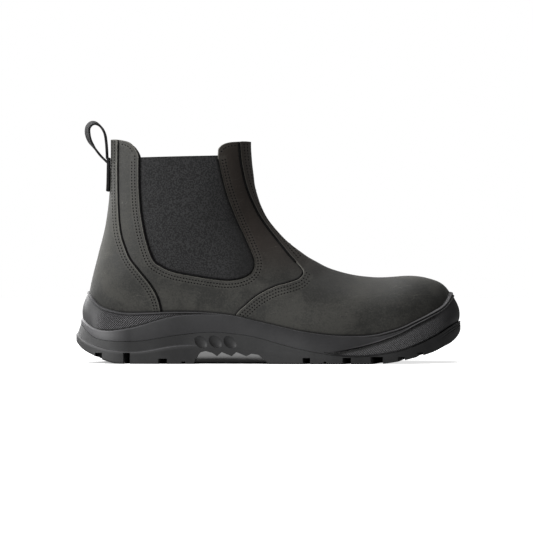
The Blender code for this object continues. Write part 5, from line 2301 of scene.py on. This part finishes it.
@dataclass(frozen=True)
class Stitching:
    """Rows of thread along the seams."""

    last: Last = LAST
    pitch: float = 0.0024
    length: float = 0.0015
    width: float = 0.0011
    height: float = 0.0007
    off_edge: float = 0.0010
    least_height: float = 0.011
    longest_step: float = 2.5
    lift: float = 0.0001

    def build(self, finishes: Finishes, forms: dict[float, BVHTree]) -> None:
        """Builds and dresses one piece of thread for each seam.

        Args:
            finishes: the boot's materials.
            forms: the last's faces at each outset.
        """
        meshes: dict[str, bmesh.types.BMesh] = {}
        bead = self.bead()
        for row in STITCH_ROWS:
            line = spaced_beside(row.line, row.offset, self.pitch)
            line = line[round(row.first * len(line)):]
            clear = (OPENING.depth(line) < -self.off_edge) & (above_sole(line) > self.least_height)
            bm = meshes.setdefault(row.seam, bmesh.new())
            for side in Side:
                self.sew(bm, bead, seam_hits(line, side, forms[row.level]), clear)
        bpy.data.meshes.remove(bead)
        for seam, bm in meshes.items():
            dress(piece_from("thread_" + seam, bm), finishes.thread)

    def bead(self) -> bpy.types.Mesh:
        """One stitch, lying along X.

        Returns:
            Its mesh.
        """
        bm = bmesh.new()
        size = Matrix.Diagonal((0.5 * self.length, 0.5 * self.width, 0.5 * self.height, 1))
        bmesh.ops.create_uvsphere(bm, u_segments=6, v_segments=4, radius=1.0, matrix=size)
        mesh = bpy.data.meshes.new("stitch")
        bm.to_mesh(mesh)
        bm.free()
        return mesh

    def sew(self, bm: bmesh.types.BMesh, bead: bpy.types.Mesh,
            hits: Sequence[tuple[Vector, Vector] | None], clear: Array) -> None:
        """Adds a stitch at each clear place, along the way to the next one.

        Args:
            bm: the mesh that they are added to.
            bead: one stitch.
            hits: the places and their normals.
            clear: whether each place may hold a stitch.
        """
        for here, after, fits in zip(hits, hits[1:], clear):
            if here is None or after is None or not fits:
                continue
            along = after[0] - here[0]
            if along.length > self.longest_step * self.pitch:
                continue
            across = here[1].cross(along).normalized()
            turn = Matrix((along.normalized(), across, along.cross(across).normalized()))
            place = Matrix.Translation(here[0] + here[1] * self.lift)
            stitch = bead.copy()
            stitch.transform(place @ turn.transposed().to_4x4())
            bm.from_mesh(stitch)
            bpy.data.meshes.remove(stitch)


class SeamBeadRow(NamedTuple):
    """A dark bead along a seam in the side view, this far to its left, on a form's outset."""

    seam: str
    line: tuple[Spot, ...]
    offset: float
    level: float
    radius: float


SEAM_BEAD_ROWS = (
    SeamBeadRow("counter", COUNTER_EDGE, 0.0009, FLUSH, 0.0009),
    SeamBeadRow("front", VAMP_FRONT, -0.0011, FLUSH, 0.0011),
    SeamBeadRow("wing", VAMP_WING, -0.0004, FLUSH, 0.00045),
    SeamBeadRow("gore", GORE_SEAM, 0.0007, FLUSH, 0.0008),
)


@dataclass(frozen=True)
class SeamBeads:
    """Dark beads that fill the seams between panels."""

    spacing: float = 0.0015
    sides: int = 8
    past_edge: float = 0.004
    least_height: float = 0.009
    top: float = 0.990
    rise: float = 0.1
    tip: float = 0.02

    def build(self, finishes: Finishes, forms: dict[float, BVHTree]) -> None:
        """Builds and dresses one bead for each row and side.

        Args:
            finishes: the boot's materials.
            forms: the last's faces at each outset.
        """
        for row in SEAM_BEAD_ROWS:
            line = spaced_beside(row.line, row.offset, self.spacing)
            keep = (OPENING.depth(line) < self.past_edge) & (above_sole(line) > self.least_height)
            keep &= line[:, 2] < LAST.collar_height * self.top
            for side in Side:
                hits = [hit for hit in seam_hits(line[keep], side, forms[row.level]) if hit]
                self.bead(f"seam_bead_{row.seam}_{side.name.lower()}", hits, row.radius, finishes)

    def bead(self, name: str, hits: Sequence[tuple[Vector, Vector]], radius: float,
             finishes: Finishes) -> None:
        """A closed bead through places on a form, half sunk in it.

        Args:
            name: the bead's name.
            hits: the places and their normals.
            radius: its radius.
            finishes: the boot's materials.
        """
        centres = np.array([place + normal * self.rise * radius for place, normal in hits])
        normals = np.array([normal for _, normal in hits])
        along = np.gradient(centres, axis=0)
        along /= np.linalg.norm(along, axis=1)[:, None]
        across = np.cross(normals, along)
        across /= np.linalg.norm(across, axis=1)[:, None]
        up = np.cross(along, across)
        turns = np.arange(self.sides) * math.tau / self.sides
        size = np.full(len(centres), radius)
        size[[0, -1]] = self.tip * radius
        around = (np.cos(turns)[None, :, None] * across[:, None]
                  + np.sin(turns)[None, :, None] * up[:, None])
        bm = sheet_over(centres[:, None] + around * size[:, None, None], True)
        bmesh.ops.recalc_face_normals(bm, faces=bm.faces)
        dress(piece_from(name, bm), finishes.seam_dark)


class Lamp(NamedTuple):
    """A square lamp that faces the boot and lights either the floor or all but the floor."""

    name: str
    place: tuple[float, float, float]
    size: float
    power: float
    on_floor: bool = False


LAMPS = (
    Lamp("left_lamp", (-1.1, -0.75, 0.45), 0.9, 23.0),
    Lamp("top_lamp", (0.1, 0.1, 2.0), 1.5, 14.0),
    Lamp("back_lamp", (-1.2, 1.0, 1.2), 2.0, 70.0),
    Lamp("floor_lamp", (-0.35, -1.3, 1.3), 1.2, 80.0, True),
)
LAMP_AIM = Vector((0, 0, 0.07))


@dataclass(frozen=True)
class Stage:
    """A pale floor, soft light and a level camera on the boot's outer side."""

    distance: float = 3.0
    frame_width: float = 0.4264
    sensor: float = 36.0
    aim: tuple[float, float] = (-0.0016, 0.077)
    floor_size: float = 12.0
    fill: float = 0.12
    tints: tuple[Colour, Colour] = ((0.88, 0.88, 0.88), (0.92, 0.92, 0.92))
    bounce: Colour = (0.30, 0.30, 0.30)
    painted_arch_shadow: Colour = (0.13, 0.13, 0.13)
    near_glow: float = 0.72
    least_glow: float = 0.62
    glow_fade: tuple[float, float] = (0.20, 0.50)
    arch_shade: float = 0.95
    arch_shift: float = 0.045

    def camera(self) -> None:
        """Builds the camera."""
        camera = bpy.data.cameras.new("camera")
        camera.sensor_width = self.sensor
        camera.lens = self.sensor * self.distance / self.frame_width
        view = bpy.data.objects.new("camera", camera)
        view.location = (self.aim[0], -self.distance, self.aim[1])
        view.rotation_euler = (math.radians(90), 0, 0)
        bpy.context.scene.collection.objects.link(view)
        bpy.context.scene.camera = view

    def surround(self) -> None:
        """Builds a surround that looks white and lights the boot a little."""
        world = bpy.data.worlds.new("surround")
        world.use_nodes = True
        nodes = Nodes(world.node_tree)
        seen = nodes.add("ShaderNodeLightPath").outputs["Is Camera Ray"]
        backdrop = world.node_tree.nodes["Background"]
        backdrop.inputs["Color"].default_value = (1, 1, 1, 1)
        nodes.feed(backdrop.inputs["Strength"],
                   nodes.math("MULTIPLY_ADD", seen, 1 - self.fill, self.fill))
        bpy.context.scene.world = world

    def light(self, lamp: Lamp, floor: bpy.types.Object) -> None:
        """Builds a lamp.

        Args:
            lamp: what it is like.
            floor: the floor, which it lights alone or not at all.
        """
        data = bpy.data.lights.new(lamp.name, "AREA")
        data.size = lamp.size
        data.energy = lamp.power
        obj = bpy.data.objects.new(lamp.name, data)
        obj.location = lamp.place
        obj.rotation_mode = "QUATERNION"
        obj.rotation_quaternion = (LAMP_AIM - Vector(lamp.place)).to_track_quat("-Z", "Y")
        bpy.context.scene.collection.objects.link(obj)
        reach = bpy.data.collections.new(lamp.name + "_reach")
        reach.objects.link(floor)
        state = "INCLUDE" if lamp.on_floor else "EXCLUDE"
        reach.collection_objects[0].light_linking.link_state = state
        obj.light_linking.receiver_collection = reach

    def glow(self, nodes: Nodes) -> tuple[Socket, Socket]:
        """How the floor's glow, which only the camera sees, is spread.

        Args:
            nodes: the floor's nodes.

        Returns:
            The glow, and the shade that lies beyond the arch seen straight from the side.
        """
        far = nodes.add("ShaderNodeVectorMath", operation="LENGTH")
        nodes.feed(far.inputs[0], nodes.place())
        x, y, _ = nodes.axes(nodes.place())
        along = nodes.math("ABSOLUTE", nodes.math("ADD", x, self.arch_shift))
        away = nodes.math("MAXIMUM", nodes.ranged(along, 0.05, 0.11),
                          nodes.ranged(nodes.math("ABSOLUTE", y), 0.10, 0.26))
        _, side, steep = nodes.axes(nodes.add("ShaderNodeNewGeometry").outputs["Incoming"])
        near = nodes.math("MAXIMUM", nodes.math("MULTIPLY", away, self.near_glow),
                          nodes.ranged(steep, 0.04, 0.15, 0.0, self.least_glow))
        glow = nodes.ranged(far.outputs["Value"], *self.glow_fade, near, 1.0)
        # The painted shadow beyond the arch: only where the view is level and straight at the side.
        level = nodes.ranged(nodes.math("ABSOLUTE", side), 0.96, 0.99, 0.0, self.arch_shade)
        shade = nodes.math("MULTIPLY", level, nodes.ranged(along, 0.06, 0.10, 1.0, 0.0))
        behind = nodes.ranged(nodes.math("MULTIPLY", y, side), -0.03, 0.0, 1.0, 0.0)
        shade = nodes.math("MULTIPLY", shade, behind)
        return nodes.math("MULTIPLY", glow, nodes.math("SUBTRACT", 1.0, shade)), shade

    def floor(self) -> bpy.types.Object:
        """Builds the floor.

        Returns:
            Its object.
        """
        bm = bmesh.new()
        bmesh.ops.create_grid(bm, x_segments=2, y_segments=2, size=0.5 * self.floor_size)
        floor = piece_from("floor", bm, Shade.FLAT)
        material, nodes, shader = new_material("pale_floor")
        seen = nodes.add("ShaderNodeLightPath").outputs["Is Camera Ray"]
        glow, shade = self.glow(nodes)
        tint = nodes.blend(nodes.noise(nodes.place(), 3.0), *self.tints)
        # Painted shadow: the floor beyond the arch, seen straight from the side, is darkened.
        tint = nodes.blend(shade, tint, self.painted_arch_shadow)
        nodes.feed(shader.inputs["Base Color"], nodes.blend(seen, self.bounce, tint))
        nodes.feed(shader.inputs["Emission Strength"], nodes.math("MULTIPLY", seen, glow))
        shader.inputs["Emission Color"].default_value = (1, 1, 1, 1)
        shader.inputs["Roughness"].default_value = 0.9
        shader.inputs["Specular IOR Level"].default_value = 0.1
        floor.data.materials.append(material)
        return floor

    def build(self) -> None:
        """Builds the camera, the surround, the floor and the lamps."""
        bpy.context.scene.view_settings.view_transform = "Standard"
        self.camera()
        self.surround()
        floor = self.floor()
        for lamp in LAMPS:
            self.light(lamp, floor)


def main() -> None:
    """Builds the stage and every piece in turn."""
    logging.basicConfig(level=logging.INFO, format="%(name)s: %(message)s")
    Stage().build()
    finishes = Finishes.build()
    LOG.info("materials built")
    Upper().build(finishes)
    Gores().build(finishes)
    forms = {PROUD: last_tree(PROUD), FLUSH: last_tree(FLUSH)}
    Stitching().build(finishes, forms)
    SeamBeads().build(finishes, forms)
    Midsole().build(finishes)
    Outsole().build(finishes)
    Insole().build(finishes)
    PullLoop().build(finishes)


if __name__ == "__main__":
    main()
